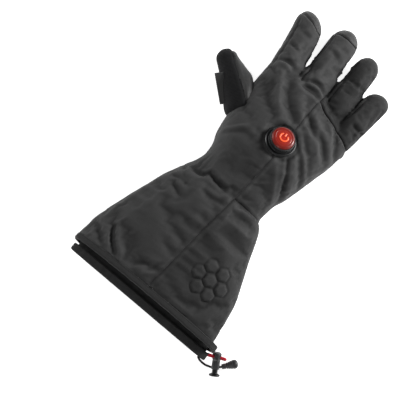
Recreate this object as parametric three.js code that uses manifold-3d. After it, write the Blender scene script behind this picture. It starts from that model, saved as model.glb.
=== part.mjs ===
// Heated gauntlet glove for the right hand, lying palm down: a hollow padded hand
// with five fingers, a long flared cuff with a rolled hem, an inner gaiter with its
// drawcord lock, a lit push button on the back and a wiper blade on the thumb.
// Millimetres. +Y runs from the cuff to the fingertips, the thumb is on the -X side
// and +Z comes out of the back of the hand. The origin is under the middle of the
// glove, on the surface that it lies on.
import * as THREE from "three";
import { mergeVertices } from "three/addons/utils/BufferGeometryUtils.js";
import Module from "manifold-3d";

const wasm = await Module();
wasm.setup();

// Driving sizes of the hand and cuff. Y is counted from the wrist line.
const cuffLength = 133; // wrist line to the hem
const cuffWidth = 159; // at the hem
const cuffHeight = 44; // at the hem
const wristWidth = 81;
const wristHeight = 49;
const handLength = 115; // wrist line to the finger slits
const palmWidth = 112; // across the knuckles
const palmHeight = 56; // floor to the highest point of the back
const padding = 4; // wall of the insulated hand, fingers and thumb
const cuffWall = 3; // wall of the lined cuff
const seamGap = 0.3; // between two sewn pieces
const sideSeamShare = 0.46; // height of the side seam, as a share of the section's height

// Fingers
const fingerLength = 75; // slit to the tip of the middle finger
const fingerWidth = 31;
const fingerHeight = 27;
const fingerRootHeight = 27; // height of a finger's axis at the slits
const fingerTipHeight = 13; // height of a finger's axis at its tip
const fourchetteHeight = 11.5; // strip between a finger's back and its front

// Thumb
const thumbWidth = 37; // at its root
const thumbHeight = 35; // at its root

// Wiper blade
const wiperLength = 31;
const wiperWidth = 6.2;
const wiperThickness = 2.6;

// Push button
const buttonTiltDeg = 14; // its axis leans towards the fingers
const flangeRadius = 15.4;
const flangeThickness = 1.8;
const flangeRecess = 1.2; // the flange sinks this far into the padding
const barrelRadius = 12.4;
const barrelHeight = 6.4; // over the flange
const barrelWall = 1.1;
const capClearance = 0.3;
const capTravel = 0.8;
const capDome = 1.6; // the lens's crown over the barrel's rim
const symbolRadius = 4.6;
const symbolStroke = 1.5;
const symbolHeight = 0.5;

// Hem, gaiter and drawcord
const hemLength = 6.5;
const hemThickness = 4.6;
const hemFlare = 2.9; // it spreads this much further on the little finger's side
const gaiterLength = 36;
const gaiterReach = 17; // how far it stands out of the hem
const gaiterWall = 1.8;
const bindingLength = 6.5;
const bindingThickness = 3.4;
const cordRadius = 1.5;
const tetherRadius = 1.1;
const lockLength = 16;
const lockRadius = 4.2;
const lockBore = 2.6;
const plungerTravel = 3;
const plungerFlange = 5.2;
const tabLength = 15.5;
const tabRadius = 4.4;

// Zip on the palm side
const zipWidth = 3.2;
const zipThickness = 1.2;
const zipPullLength = 13;
const zipPullWidth = 4;

// Sections of the cuff, hem first: at = share of cuffLength from the wrist, flare =
// share of the way from wristWidth to cuffWidth, shift = share of cuffWidth towards
// +X, rise = share of the way from wristHeight to cuffHeight.
const cuffSections = [
  { at: 1.0, flare: 1.0, shift: -0.042, rise: 1.0 },
  { at: 0.9, flare: 0.955, shift: -0.042, rise: 0.8 },
  { at: 0.82, flare: 0.914, shift: -0.04, rise: 0.6 },
  { at: 0.7, flare: 0.82, shift: -0.033, rise: 0.4 },
  { at: 0.555, flare: 0.656, shift: -0.033, rise: 0.2 },
  { at: 0.427, flare: 0.494, shift: -0.033, rise: 0.1 },
  { at: 0.3, flare: 0.346, shift: -0.03, rise: 0.1 },
  { at: 0.2, flare: 0.2, shift: -0.025, rise: 0.3 },
  { at: 0.145, flare: 0.08, shift: -0.031, rise: 0.7 },
  { at: 0.067, flare: 0.02, shift: -0.011, rise: 0.2 },
];
// Sections of the hand, wrist first: at = share of handLength, spread = share of the
// way from wristWidth to palmWidth, shift = share of palmWidth towards +X, top and
// arch = heights of the back and of the palm over the floor, shares of palmHeight.
const handSections = [
  { at: 0.0, spread: 0.0, shift: 0.005, top: 0.88, arch: 0.0 },
  { at: 0.114, spread: 0.18, shift: 0.026, top: 0.945, arch: 0.0 },
  { at: 0.219, spread: 0.429, shift: 0.025, top: 0.99, arch: 0.0 },
  { at: 0.386, spread: 0.671, shift: 0.041, top: 0.97, arch: 0.0 },
  { at: 0.544, spread: 0.835, shift: 0.062, top: 0.92, arch: 0.03 },
  { at: 0.684, spread: 0.881, shift: 0.075, top: 0.865, arch: 0.075 },
  { at: 0.816, spread: 0.935, shift: 0.085, top: 0.81, arch: 0.12 },
  { at: 0.9, spread: 0.823, shift: 0.074, top: 0.77, arch: 0.16 },
];
// The rounded end of the hand between the fingers: at = share of handLength, narrow
// = share of the width, flat = share of the height that is left.
const webSections = [
  { at: 0.945, narrow: 0.985, flat: 0.86 },
  { at: 0.975, narrow: 0.96, flat: 0.66 },
  { at: 0.993, narrow: 0.93, flat: 0.36 },
];
// Fingers: root and tip = X of the axis, shares of palmWidth, reach = Y of the tip
// past the slits, share of fingerLength, bow = how late the axis bends, width =
// share of fingerWidth, neck = width at the root, share of its own width, round =
// length of the rounded tip, share of its width.
const fingers = [
  { name: "index", root: -0.27, tip: -0.37, reach: 0.87, bow: 2.8, width: 0.985, neck: 0.88, round: 0.6 },
  { name: "middle", root: 0.006, tip: 0.0, reach: 1.0, bow: 1, width: 1.0, neck: 0.86, round: 0.62 },
  { name: "ring", root: 0.27, tip: 0.284, reach: 0.88, bow: 1, width: 0.87, neck: 0.88, round: 0.68 },
  { name: "little", root: 0.452, tip: 0.548, reach: 0.535, bow: 1, width: 0.835, neck: 0.98, round: 0.58 },
];
// How far a finger has grown from its neck to its full width, at shares of its length.
const fingerTaper = [
  { at: 0.0, grown: 0 },
  { at: 0.28, grown: 0.3 },
  { at: 0.45, grown: 0.75 },
  { at: 0.62, grown: 1.0 },
  { at: 1.0, grown: 1.0 },
];
// The thumb's axis from inside the hand to the tip: x and y = shares of palmWidth and
// handLength, z = share of palmHeight, width and height = shares of its root sizes.
const thumbSections = [
  { x: -0.19, y: 0.375, z: 0.45, width: 0.94, height: 0.94 },
  { x: -0.295, y: 0.482, z: 0.44, width: 1.06, height: 1.0 },
  { x: -0.405, y: 0.57, z: 0.41, width: 0.98, height: 0.93 },
  { x: -0.53, y: 0.662, z: 0.355, width: 0.84, height: 0.82 },
  { x: -0.632, y: 0.733, z: 0.29, width: 0.69, height: 0.7 },
  { x: -0.709, y: 0.784, z: 0.235, width: 0.58, height: 0.59 },
];
const thumbRound = 0.04; // length of the rounded tip, share of the last section's width
// Folds on the back: x = share of palmWidth on the hand and of cuffWidth on the cuff,
// y = share of handLength, or of cuffLength where negative, width = share of
// foldWidth and lift = share of foldHeight, valleys negative.
const foldWidth = 8;
const foldHeight = 3;
const deepestOnCuff = cuffWall / 2;
const deepestOnHand = padding / 2;
const folds = [
  { x0: -0.17, y0: 0.9, x1: -0.1, y1: 0.77, width: 0.85, lift: -0.9 },
  { x0: -0.1, y0: 0.77, x1: 0.06, y1: 0.6, width: 0.8, lift: -0.85 },
  { x0: -0.28, y0: 0.9, x1: -0.22, y1: 0.77, width: 0.7, lift: 0.6 },
  { x0: -0.22, y0: 0.77, x1: -0.05, y1: 0.56, width: 0.7, lift: 0.55 },
  { x0: 0.12, y0: 0.7, x1: 0.27, y1: 0.59, width: 0.6, lift: -0.6 },
  { x0: 0.28, y0: 0.67, x1: 0.45, y1: 0.52, width: 0.6, lift: -0.55 },
  { x0: 0.19, y0: 0.31, x1: 0.37, y1: 0.05, width: 0.6, lift: -0.55 },
  { x0: 0.22, y0: 0.5, x1: 0.45, y1: 0.25, width: 0.6, lift: -0.45 },
  { x0: -0.25, y0: -0.16, x1: -0.17, y1: -0.15, width: 0.7, lift: -0.8 },
  { x0: -0.14, y0: -0.15, x1: -0.02, y1: -0.165, width: 0.7, lift: -0.85 },
  { x0: 0.1, y0: -0.26, x1: 0.23, y1: -0.25, width: 0.9, lift: -0.9 },
  { x0: -0.32, y0: -0.3, x1: -0.22, y1: -0.36, width: 0.75, lift: -0.7 },
  { x0: -0.1, y0: -0.27, x1: 0.0, y1: -0.255, width: 0.6, lift: -0.55 },
  { x0: 0.05, y0: -0.22, x1: 0.07, y1: -0.5, width: 0.75, lift: 0.6 },
  { x0: -0.42, y0: -0.82, x1: -0.3, y1: -0.98, width: 0.7, lift: -0.8 },
  { x0: -0.14, y0: -0.93, x1: -0.06, y1: -0.9, width: 0.7, lift: -0.7 },
];
// Seams as lines in the plan, x = share of palmWidth on the hand and of cuffWidth
// on the cuff, y as in the folds. The long seam runs from the hem past the button to
// the slit between the middle and ring fingers, and on between them.
const longSeam = [
  { x: -0.045, y: -1.25 },
  { x: -0.038, y: -0.98 },
  { x: 0.006, y: -0.5 },
  { x: 0.05, y: -0.08 },
  { x: 0.098, y: 0.2 },
  { x: 0.107, y: 0.6 },
  { x: 0.118, y: 0.85 },
  { x: 0.144, y: 1.0 },
  { x: 0.156, y: 1.2 },
  { x: 0.156, y: 1.8 },
];
const knuckleSeam = [
  { x: 0.05, y: 0.94 },
  { x: 0.152, y: 0.89 },
  { x: 0.22, y: 0.85 },
  { x: 0.36, y: 0.815 },
  { x: 0.54, y: 0.745 },
  { x: 0.9, y: 0.68 },
];
const palmSeam = [
  { x: -0.9, y: 0.86 },
  { x: -0.42, y: 0.845 },
  { x: -0.18, y: 0.82 },
  { x: 0.0, y: 0.81 },
  { x: 0.27, y: 0.765 },
  { x: 0.9, y: 0.55 },
];
const wristSeam = -0.16; // on the little finger's side, share of cuffLength
const heelSeam = -0.07; // on the palm side, share of cuffLength
const zipRoute = [
  { x: -0.054, y: 0.16 },
  { x: -0.09, y: 0.42 },
  { x: -0.13, y: 0.62 },
  { x: -0.2, y: 0.72 },
];
// Honeycomb of raised pads on the cuff: its middle, pad size and pitch.
const padRelief = { x: 0.215, y: -0.71, radius: 6.2, pitch: 13, height: 0.9 };
const padCells = [
  { column: 0, row: 0 },
  { column: 1, row: 0 },
  { column: -1, row: 0 },
  { column: 0.5, row: 1 },
  { column: -0.5, row: 1 },
  { column: 0.5, row: -1 },
  { column: -0.5, row: -1 },
];

const far = 400; // reach of a cutting block
const bodySegments = 28;
const innerSegments = 18;
const fingerSegments = 12;
const fingerInnerSegments = 8;

// Maths helpers
const lerp = THREE.MathUtils.lerp;
const radians = THREE.MathUtils.degToRad;
const point = (x, y, z) => new THREE.Vector3(x, y, z);

// The value of a column at a place in a table sorted by its at column, on a smooth
// curve through the rows.
function readTable(rows, key, at) {
  const last = rows.length - 1;
  if (at <= rows[0].at) return rows[0][key];
  if (at >= rows[last].at) return rows[last][key];
  const i = rows.findIndex((row) => row.at > at) - 1;
  const slope = (k) => {
    const a = rows[Math.max(k - 1, 0)];
    const b = rows[Math.min(k + 1, last)];
    return (b[key] - a[key]) / (b.at - a.at);
  };
  const span = rows[i + 1].at - rows[i].at;
  const t = (at - rows[i].at) / span;
  const rise = rows[i + 1][key] - rows[i][key];
  const inSlope = slope(i) * span - rise;
  const outSlope = rise - slope(i + 1) * span;
  return rows[i][key] + t * rise + t * (1 - t) * ((1 - t) * inSlope + t * outSlope);
}

// Shares of a plan point as millimetres: cuff sizes behind the wrist, hand sizes
// before it.
const planX = (share, yShare) => share * (yShare < 0 ? cuffWidth : palmWidth);
const planY = (share) => share * (share < 0 ? cuffLength : handLength);
const planPoint = ({ x, y }) => new THREE.Vector2(planX(x, y), planY(y));

// Every section of the hand and cuff as real sizes: at = Y, wide, middle, top, floor.
const bodyTable = [
  ...cuffSections.map((row) => ({
    at: -row.at * cuffLength,
    wide: lerp(wristWidth, cuffWidth, row.flare),
    middle: row.shift * cuffWidth,
    top: lerp(wristHeight, cuffHeight, row.rise),
    floor: 0,
  })),
  ...handSections.map((row) => ({
    at: row.at * handLength,
    wide: lerp(wristWidth, palmWidth, row.spread),
    middle: row.shift * palmWidth,
    top: row.top * palmHeight,
    floor: row.arch * palmHeight,
  })),
];

// The section at Y, drawn in by inset: its middle, half width, top, floor and the
// height of its side seam.
function sectionAt(y, inset) {
  const top = readTable(bodyTable, "top", y);
  const floor = Math.max(0, readTable(bodyTable, "floor", y));
  return {
    middle: readTable(bodyTable, "middle", y),
    half: readTable(bodyTable, "wide", y) / 2 - inset,
    top: top - inset,
    floor: Math.max(0, floor + inset),
    seam: lerp(floor, top, sideSeamShare),
  };
}

// Height of the back, or of the underside, at a plan point: superellipses whose lower
// half is squarer and is cut off flat where it would go through the floor.
const topPower = 2.3;
const underPower = 3.2;
const underSink = 2.4; // the lower curve would reach this far under the floor
function surfaceZ(section, x, isTop) {
  const side = Math.min(1, Math.abs(x - section.middle) / section.half);
  const power = isTop ? topPower : underPower;
  const share = (1 - side ** power) ** (1 / power);
  if (isTop) return section.seam + (section.top - section.seam) * share;
  const drop = section.seam - section.floor + underSink;
  return Math.max(section.floor, section.seam - drop * share);
}
const backZ = (x, y) => surfaceZ(sectionAt(y, 0), x, true) + foldLift(x, y);

// Sum of the folds at a plan point: each is a ridge or valley with a bell-shaped
// section along a short line.
const foldLines = folds.map((fold) => ({
  a: planPoint({ x: fold.x0, y: fold.y0 }),
  b: planPoint({ x: fold.x1, y: fold.y1 }),
  width: fold.width * foldWidth,
  lift: fold.lift * foldHeight,
}));
function foldLift(x, y) {
  const here = new THREE.Vector2(x, y);
  let sum = 0;
  for (const { a, b, width, lift } of foldLines) {
    const along = b.clone().sub(a);
    const t = THREE.MathUtils.clamp(here.clone().sub(a).dot(along) / along.lengthSq(), 0, 1);
    const away = here.distanceTo(a.clone().addScaledVector(along, t));
    sum += lift * Math.exp(-((away / width) ** 2) * 2);
  }
  return Math.max(sum, y < 0 ? -deepestOnCuff : -deepestOnHand);
}

// Solids
function solidOf(geometry) {
  const bare = geometry.clone();
  bare.deleteAttribute("normal");
  bare.deleteAttribute("uv");
  const merged = mergeVertices(bare, 1e-4);
  const mesh = new wasm.Mesh({
    numProp: 3,
    vertProperties: new Float32Array(merged.attributes.position.array),
    triVerts: new Uint32Array(merged.index.array),
  });
  return new wasm.Manifold(mesh);
}

// A closed skin over rings of equally many points, each end closed by a fan.
function skin(rings) {
  const count = rings[0].length;
  const points = rings.flat();
  const index = [];
  for (let r = 0; r + 1 < rings.length; r++)
    for (let i = 0; i < count; i++) {
      const j = (i + 1) % count;
      const [a, b] = [r * count + i, r * count + j];
      index.push(a, b, a + count, b, b + count, a + count);
    }
  const middleOf = (ring) =>
    ring.reduce((sum, p) => sum.add(p), point(0, 0, 0)).divideScalar(count);
  const first = points.push(middleOf(rings[0])) - 1;
  const last = points.push(middleOf(rings[rings.length - 1])) - 1;
  const top = (rings.length - 1) * count;
  for (let i = 0; i < count; i++) {
    const j = (i + 1) % count;
    index.push(first, j, i, last, top + i, top + j);
  }
  const geometry = new THREE.BufferGeometry().setFromPoints(points).setIndex(index);
  const made = solidOf(geometry);
  if (made.volume() > 0) return made;
  geometry.setIndex(index.reverse());
  return solidOf(geometry);
}

// A prism over a plan outline between two heights.
function prism(outline, low, high) {
  const shape = new THREE.Shape(outline);
  const geometry = new THREE.ExtrudeGeometry(shape, { depth: high - low, bevelEnabled: false });
  return solidOf(geometry.translate(0, 0, low));
}

// A prism over an outline in the YZ plane between two X, each outline point [y, z].
function sidePrism(outline, low, high) {
  const shape = new THREE.Shape(outline.map(([y, z]) => new THREE.Vector2(y, z)));
  const geometry = new THREE.ExtrudeGeometry(shape, { depth: high - low, bevelEnabled: false });
  const turn = new THREE.Matrix4().makeBasis(point(0, 1, 0), point(0, 0, 1), point(1, 0, 0));
  return solidOf(geometry.applyMatrix4(turn).translate(low, 0, 0));
}

// A turned solid from its profile of [radius, height] pairs, set on a frame.
function turned(profile, segments, frame) {
  const outline = profile.map(([r, h]) => new THREE.Vector2(r, h));
  const geometry = new THREE.LatheGeometry(outline, segments);
  geometry.rotateX(Math.PI / 2);
  return solidOf(geometry.applyMatrix4(frame));
}

// A three.js geometry of a solid.
function geometryOf(solid) {
  const raw = solid.getMesh();
  const positions = new Float32Array(raw.numVert * 3);
  for (let i = 0; i < raw.numVert; i++)
    positions.set(raw.vertProperties.subarray(i * raw.numProp, i * raw.numProp + 3), 3 * i);
  const geometry = new THREE.BufferGeometry();
  geometry.setAttribute("position", new THREE.BufferAttribute(positions, 3));
  geometry.setIndex(new THREE.BufferAttribute(new Uint32Array(raw.triVerts), 1));
  return geometry;
}

// Whether every edge has just two faces once equal points are welded.
function isClosed(geometry) {
  const faces = geometry.toNonIndexed().attributes.position;
  const spot = (k) => [faces.getX(k), faces.getY(k), faces.getZ(k)].map((v) => v.toFixed(3)).join();
  const uses = new Map();
  for (let i = 0; i < faces.count; i += 3) {
    const corners = [spot(i), spot(i + 1), spot(i + 2)];
    corners.forEach((a, k) => {
      const edge = [a, corners[(k + 1) % 3]].sort().join("|");
      uses.set(edge, (uses.get(edge) ?? 0) + 1);
    });
  }
  return [...uses.values()].every((count) => count === 2);
}

// Points moved to a grid of a hundredth of a millimetre, so that none lie closer.
const onGridLine = (v) => Math.round(v * 100) / 100;
function onGrid(geometry) {
  const spots = geometry.attributes.position;
  for (let i = 0; i < spots.count; i++)
    spots.setXYZ(i, ...[spots.getX(i), spots.getY(i), spots.getZ(i)].map(onGridLine));
  return mergeVertices(geometry, 1e-3);
}

// The largest body of a cut, without the slivers that a cut may leave and without
// the vertices that lie within plainness of a plain face.
const plainness = 0.08;
function mainBody(solid) {
  const largest = (one) => one.decompose().sort((a, b) => b.volume() - a.volume())[0];
  const whole = largest(solid);
  for (const reach of [plainness, plainness / 2, plainness / 4, plainness / 12]) {
    const body = largest(solidOf(onGrid(geometryOf(whole.simplify(reach)))));
    if (isClosed(geometryOf(body))) return body;
  }
  return whole;
}

// The loop round a section at Y: a superellipse cut off flat at the floor.
function loop(section, y, segments, isFolded, narrow = 1, flat = 1) {
  const mid = (section.top + section.floor) / 2;
  return Array.from({ length: segments }, (_, i) => {
    const angle = (2 * Math.PI * i) / segments;
    const [c, s] = [Math.cos(angle), Math.sin(angle)];
    const power = s > 0 ? topPower : underPower;
    const shrink = (Math.abs(c) ** power + Math.abs(s) ** power) ** (-1 / power);
    const x = section.middle + section.half * narrow * c * shrink;
    const drop = section.seam - section.floor + underSink;
    let z = section.seam + (s > 0 ? section.top - section.seam : drop) * s * shrink;
    if (isFolded && s > 0) z += foldLift(x, y) * Math.min(1, 1.6 * s * shrink);
    z = Math.max(section.floor, mid + (z - mid) * flat);
    return point(x, y - slant(x, y), z);
  });
}

// The hand and cuff as one solid, drawn in by inset on the hand and cuffInset on the
// cuff, which runs past the hem by overrun.
function bodySolid(inset, cuffInset, segments, steps, overrun, isFolded) {
  const ring = (y, insetHere, narrow, flat) =>
    loop(sectionAt(y, insetHere), y, segments, isFolded, narrow, flat);
  const end = handLength - inset;
  const rings = [];
  if (overrun > 0) rings.push(ring(-cuffLength - overrun, cuffInset, 1, 1));
  for (let i = 0; i < steps.cuff; i++) {
    const y = lerp(-cuffLength, 0, i / steps.cuff);
    const share = THREE.MathUtils.smoothstep(y, -cuffLength / 5, 0);
    rings.push(ring(y, lerp(cuffInset, inset, share), 1, 1));
  }
  const handEnd = handSections[handSections.length - 1].at * end;
  for (let i = 0; i <= steps.hand; i++)
    rings.push(ring(lerp(0, handEnd, i / steps.hand), inset, 1, 1));
  for (const web of webSections) rings.push(ring(web.at * end, inset, web.narrow, web.flat));
  return skin(rings);
}

// The slits step back towards the little finger, and the hem runs a little slanting.
const slitStep = 0.5;
const hemSlant = 0.03;
function slant(x, y) {
  const reach = THREE.MathUtils.smoothstep(y, 0.6 * handLength, handLength);
  const hem = THREE.MathUtils.clamp(-y / cuffLength, 0, 1.5) ** 2;
  return reach * slitStep * Math.max(0, x - 0.16 * palmWidth) + hem * hemSlant * x;
}

// The axis height of every finger at Y.
function fingerZ(y) {
  const share = THREE.MathUtils.clamp((y - handLength) / fingerLength, -0.3, 1);
  const eased = Math.max(0, share) ** 0.85;
  return lerp(fingerRootHeight, fingerTipHeight, eased);
}

// One finger, drawn in by inset, from inside the hand to its rounded tip.
const fingerRoot = 0.72; // where a finger's axis starts, share of handLength
function fingerAxis(finger, y) {
  const [from, to] = [fingerRoot * handLength, handLength + finger.reach * fingerLength];
  const share = THREE.MathUtils.clamp((y - from) / (to - from), 0, 1);
  return palmWidth * lerp(finger.root, finger.tip, share ** finger.bow);
}
function fingerSolid(finger, inset, segments, steps) {
  const from = fingerRoot * handLength;
  const to = handLength + finger.reach * fingerLength - inset;
  const wide = fingerWidth * finger.width;
  const roundFrom = to - wide * finger.round;
  const ring = (y, share, shrink) => {
    const taper = lerp(finger.neck, 1, readTable(fingerTaper, "grown", share));
    const halfX = ((wide * taper) / 2 - inset) * shrink;
    const halfZ = (fingerHeight * finger.width ** 0.5 * lerp(1, 0.86, share)) / 2;
    const reachZ = (halfZ - inset) * shrink;
    const [x0, z0] = [fingerAxis(finger, y), fingerZ(y)];
    return Array.from({ length: segments }, (_, i) => {
      const angle = (2 * Math.PI * (i + 0.5)) / segments;
      const z = z0 + reachZ * Math.sin(angle) - (1 - shrink) * 0.12 * halfZ;
      return point(x0 + halfX * Math.cos(angle), y, Math.max(inset + 0.2, z));
    });
  };
  const rings = [];
  for (let i = 0; i <= steps; i++) {
    const y = lerp(from, roundFrom, i / steps);
    rings.push(ring(y, (y - from) / (to - from), 1));
  }
  for (const angle of [28, 52, 70, 83]) {
    const y = roundFrom + (to - roundFrom) * Math.sin(radians(angle));
    rings.push(ring(y, 1, Math.cos(radians(angle))));
  }
  return skin(rings);
}

// The thumb's frames: centre, direction across it and its half sizes.
const thumbFrames = thumbSections.map((row) => ({
  centre: point(row.x * palmWidth, row.y * handLength, row.z * palmHeight),
  halfX: (row.width * thumbWidth) / 2,
  halfZ: (row.height * thumbHeight) / 2,
}));
const thumbTip = thumbFrames[thumbFrames.length - 1];
const thumbWay = thumbTip.centre.clone().sub(thumbFrames[1].centre).normalize();
const thumbAcross = point(thumbWay.y, -thumbWay.x, 0).normalize();
function thumbSolid(inset, segments) {
  const ring = (centre, halfX, halfZ) =>
    Array.from({ length: segments }, (_, i) => {
      const angle = (2 * Math.PI * (i + 0.5)) / segments;
      const at = centre.clone().addScaledVector(thumbAcross, halfX * Math.cos(angle));
      at.z = Math.max(inset + 0.2, at.z + halfZ * Math.sin(angle));
      return at;
    });
  const rings = thumbFrames.map((f) => ring(f.centre, f.halfX - inset, f.halfZ - inset));
  const reach = 2 * thumbTip.halfX * thumbRound + thumbTip.halfX - inset;
  for (const angle of [25, 48, 68, 82]) {
    const shrink = Math.cos(radians(angle));
    const centre = thumbTip.centre
      .clone()
      .addScaledVector(thumbWay, reach * Math.sin(radians(angle)));
    rings.push(ring(centre, (thumbTip.halfX - inset) * shrink, (thumbTip.halfZ - inset) * shrink));
  }
  return skin(rings);
}

// The whole shell
const fineSteps = { cuff: 13, hand: 12 };
const plainSteps = { cuff: 6, hand: 6 };
function outerSolid(inset) {
  let made = bodySolid(inset, inset, bodySegments, fineSteps, 0, true);
  for (const finger of fingers) made = made.add(fingerSolid(finger, inset, fingerSegments, 6));
  return made;
}
let hollow = bodySolid(padding, cuffWall, innerSegments, plainSteps, 12, false);
for (const finger of fingers)
  hollow = hollow.add(fingerSolid(finger, padding, fingerInnerSegments, 4));
const thumbHollow = thumbSolid(padding, 10);
const handShell = outerSolid(0).subtract(hollow).subtract(thumbHollow);
const handClear = outerSolid(-seamGap);
const thumbOuter = thumbSolid(0, 16);
const thumbShell = thumbOuter.subtract(thumbHollow).subtract(handClear);

// The side seam: under this line in the YZ plane lies the palm side.
const sideLine = [];
for (let i = 0; i <= 24; i++) {
  const y = lerp(-1.3 * cuffLength, 1.05 * (handLength + fingerLength), i / 24);
  const section = sectionAt(y, 0);
  const share = THREE.MathUtils.smoothstep(y, 0.7 * handLength, handLength);
  sideLine.push([y, lerp(section.seam, fingerZ(y), share)]);
}
function underBlock(shift) {
  const line = sideLine.map(([y, z]) => [y, z + shift]);
  const [from, to] = [line[0][0], line[line.length - 1][0]];
  return sidePrism([[from, -far], [to, -far], ...line.reverse()], -far, far);
}
const backShell = handShell.subtract(underBlock(seamGap / 2));
const palmShell = handShell.intersect(underBlock(-seamGap / 2));

// Blocks on one side of a seam line in the plan, grown or shrunk by shift. A
// lengthwise line keeps what lies towards -X, a crosswise line what lies towards +Y.
function besideBlock(line, shift) {
  const points = line.map(planPoint).map((p) => new THREE.Vector2(p.x + shift, p.y));
  const [first, last] = [points[0], points[points.length - 1]];
  const outline = [
    ...points,
    new THREE.Vector2(last.x, far),
    new THREE.Vector2(-far, far),
    new THREE.Vector2(-far, -far),
    new THREE.Vector2(first.x, -far),
  ];
  return prism(outline, -far / 4, far / 4);
}
function beyondBlock(line, shift) {
  const points = line.map(planPoint).map((p) => new THREE.Vector2(p.x, p.y + shift));
  const [first, last] = [points[0], points[points.length - 1]];
  const outline = [
    new THREE.Vector2(-far, first.y),
    ...points,
    new THREE.Vector2(far, last.y),
    new THREE.Vector2(far, far),
    new THREE.Vector2(-far, far),
  ];
  return prism(outline, -far / 4, far / 4);
}
const crossBlock = (y, shift) => beyondBlock([{ x: 0, y }], shift);

// Fourchettes: the strip of side wall from one finger round the slit to the next.
// Each half runs in the plan from the finger's axis to the middle of the slit.
const fourchetteRoot = 0.89; // share of handLength
const planRows = [0, 0.15, 0.3, 0.45, 0.6, 0.8, 1].map((share) =>
  lerp(fourchetteRoot * handLength - 1, handLength + fingerLength, share),
);
function fourchetteBand(finger, next, grow) {
  const slitX = (y) => {
    const reach = (one) => (fingerWidth * one.width) / 2;
    return (fingerAxis(finger, y) + reach(finger) + fingerAxis(next, y) - reach(next)) / 2;
  };
  const half = (one, side) => {
    const tip = handLength + one.reach * fingerLength;
    const round = fingerWidth * one.width * one.round;
    const marks = [
      { y: fourchetteRoot * handLength - grow, share: 0.8 },
      { y: handLength, share: 1 },
      { y: tip - 1.6 * round, share: 0.9 },
      { y: tip - 0.7 * round + grow, share: 0 },
    ];
    const edge = (sign) =>
      marks.map(({ y, share }) => [y, fingerZ(y) + sign * ((share * fourchetteHeight) / 2 + grow)]);
    const strip = sidePrism([...edge(-1), ...edge(1).reverse()], -far, far);
    const inner = planRows.map((y) => new THREE.Vector2(fingerAxis(one, y), y));
    const outer = planRows.map((y) => new THREE.Vector2(slitX(y) + side * (grow + 0.1), y));
    const plan = prism([...inner, ...outer.reverse()], -far / 4, far / 4);
    return strip.intersect(plan);
  };
  return half(finger, 1).add(half(next, -1));
}
const gaps = fingers.slice(0, -1).map((finger, i) => ({
  name: `fourchette_${finger.name}_${fingers[i + 1].name}`,
  band: fourchetteBand(finger, fingers[i + 1], 0),
  clear: fourchetteBand(finger, fingers[i + 1], seamGap),
}));
let backPanels = backShell;
let palmPanels = palmShell;
for (const gap of gaps) {
  backPanels = backPanels.subtract(gap.clear);
  palmPanels = palmPanels.subtract(gap.clear);
}

// The button's frame: its plane sinks flangeRecess into the padding.
const button = { x: 0.074, y: 0.404 }; // shares of palmWidth and handLength
const buttonAt = point(planX(button.x, 1), planY(button.y), 0);
buttonAt.z = backZ(buttonAt.x, buttonAt.y) - flangeRecess;
const buttonFrame = new THREE.Matrix4()
  .makeRotationX(-radians(buttonTiltDeg))
  .setPosition(buttonAt);
const flangeSeat = turned(
  [
    [0, -seamGap],
    [flangeRadius + seamGap, -seamGap],
    [flangeRadius + 4, 20],
    [0, 20],
  ],
  32,
  buttonFrame,
);
const backSeated = backPanels.subtract(flangeSeat);

// Tip caps of palm leather that wrap over the index and middle fingertips.
function tipCap(finger, lean, depth, shift) {
  const tip = handLength + finger.reach * fingerLength;
  const x = fingerAxis(finger, tip);
  const wide = fingerWidth;
  const outline = [
    new THREE.Vector2(x - wide, tip - depth + lean * wide + shift),
    new THREE.Vector2(x + wide, tip - depth - lean * wide + shift),
    new THREE.Vector2(x + wide, tip + wide),
    new THREE.Vector2(x - wide, tip + wide),
  ];
  return prism(outline, -far / 4, far / 4);
}
const caps = [
  { name: "index_tip_cap", finger: fingers[0], lean: 0.32, depth: 12 },
  { name: "middle_tip_cap", finger: fingers[1], lean: 0, depth: 14 },
];

// Honeycomb pads: short six-sided studs that stand a little out of the cuff.
function honeycomb() {
  const middle = planPoint(padRelief);
  const rowStep = padRelief.pitch * Math.sin(Math.PI / 3);
  return padCells.map(({ column, row }) => {
    const x = middle.x + column * padRelief.pitch;
    const y = middle.y + row * rowStep;
    const slope = (backZ(x + 1, y) - backZ(x - 1, y)) / 2;
    const frame = new THREE.Matrix4()
      .makeRotationY(-Math.atan(slope))
      .setPosition(x, y - slant(x, y), backZ(x, y));
    const { radius, height } = padRelief;
    const profile = [
      [0, -cuffWall / 2],
      [radius, -cuffWall / 2],
      [radius, height / 2],
      [radius - height, height],
      [0, height],
    ];
    return turned(profile, 6, frame);
  });
}

// The hem: a roll round the end of the cuff. Its bore stays clear of the gaiter.
const bandSegments = 24;
const gaiterClearance = 2.2; // from the cuff's lining to the gaiter
function flared(section, share) {
  section.middle += hemFlare * share;
  section.half += hemFlare * share;
  return section;
}
function hemRing(y, inset) {
  return loop(flared(sectionAt(-cuffLength, inset), 1), y, bandSegments, false);
}
const hemFrom = -cuffLength - seamGap;
const hemTo = hemFrom - hemLength;
const hemSwell = 0.9; // the roll stands this far over the cuff
const hem = skin([
  hemRing(hemFrom, 0.1),
  hemRing(lerp(hemFrom, hemTo, 0.25), -hemSwell),
  hemRing(lerp(hemFrom, hemTo, 0.75), -hemSwell),
  hemRing(hemTo, 0.1),
]).subtract(skin([hemRing(hemFrom + 5, hemThickness - hemSwell), hemRing(hemTo - 5, hemThickness - hemSwell)]));

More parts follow.
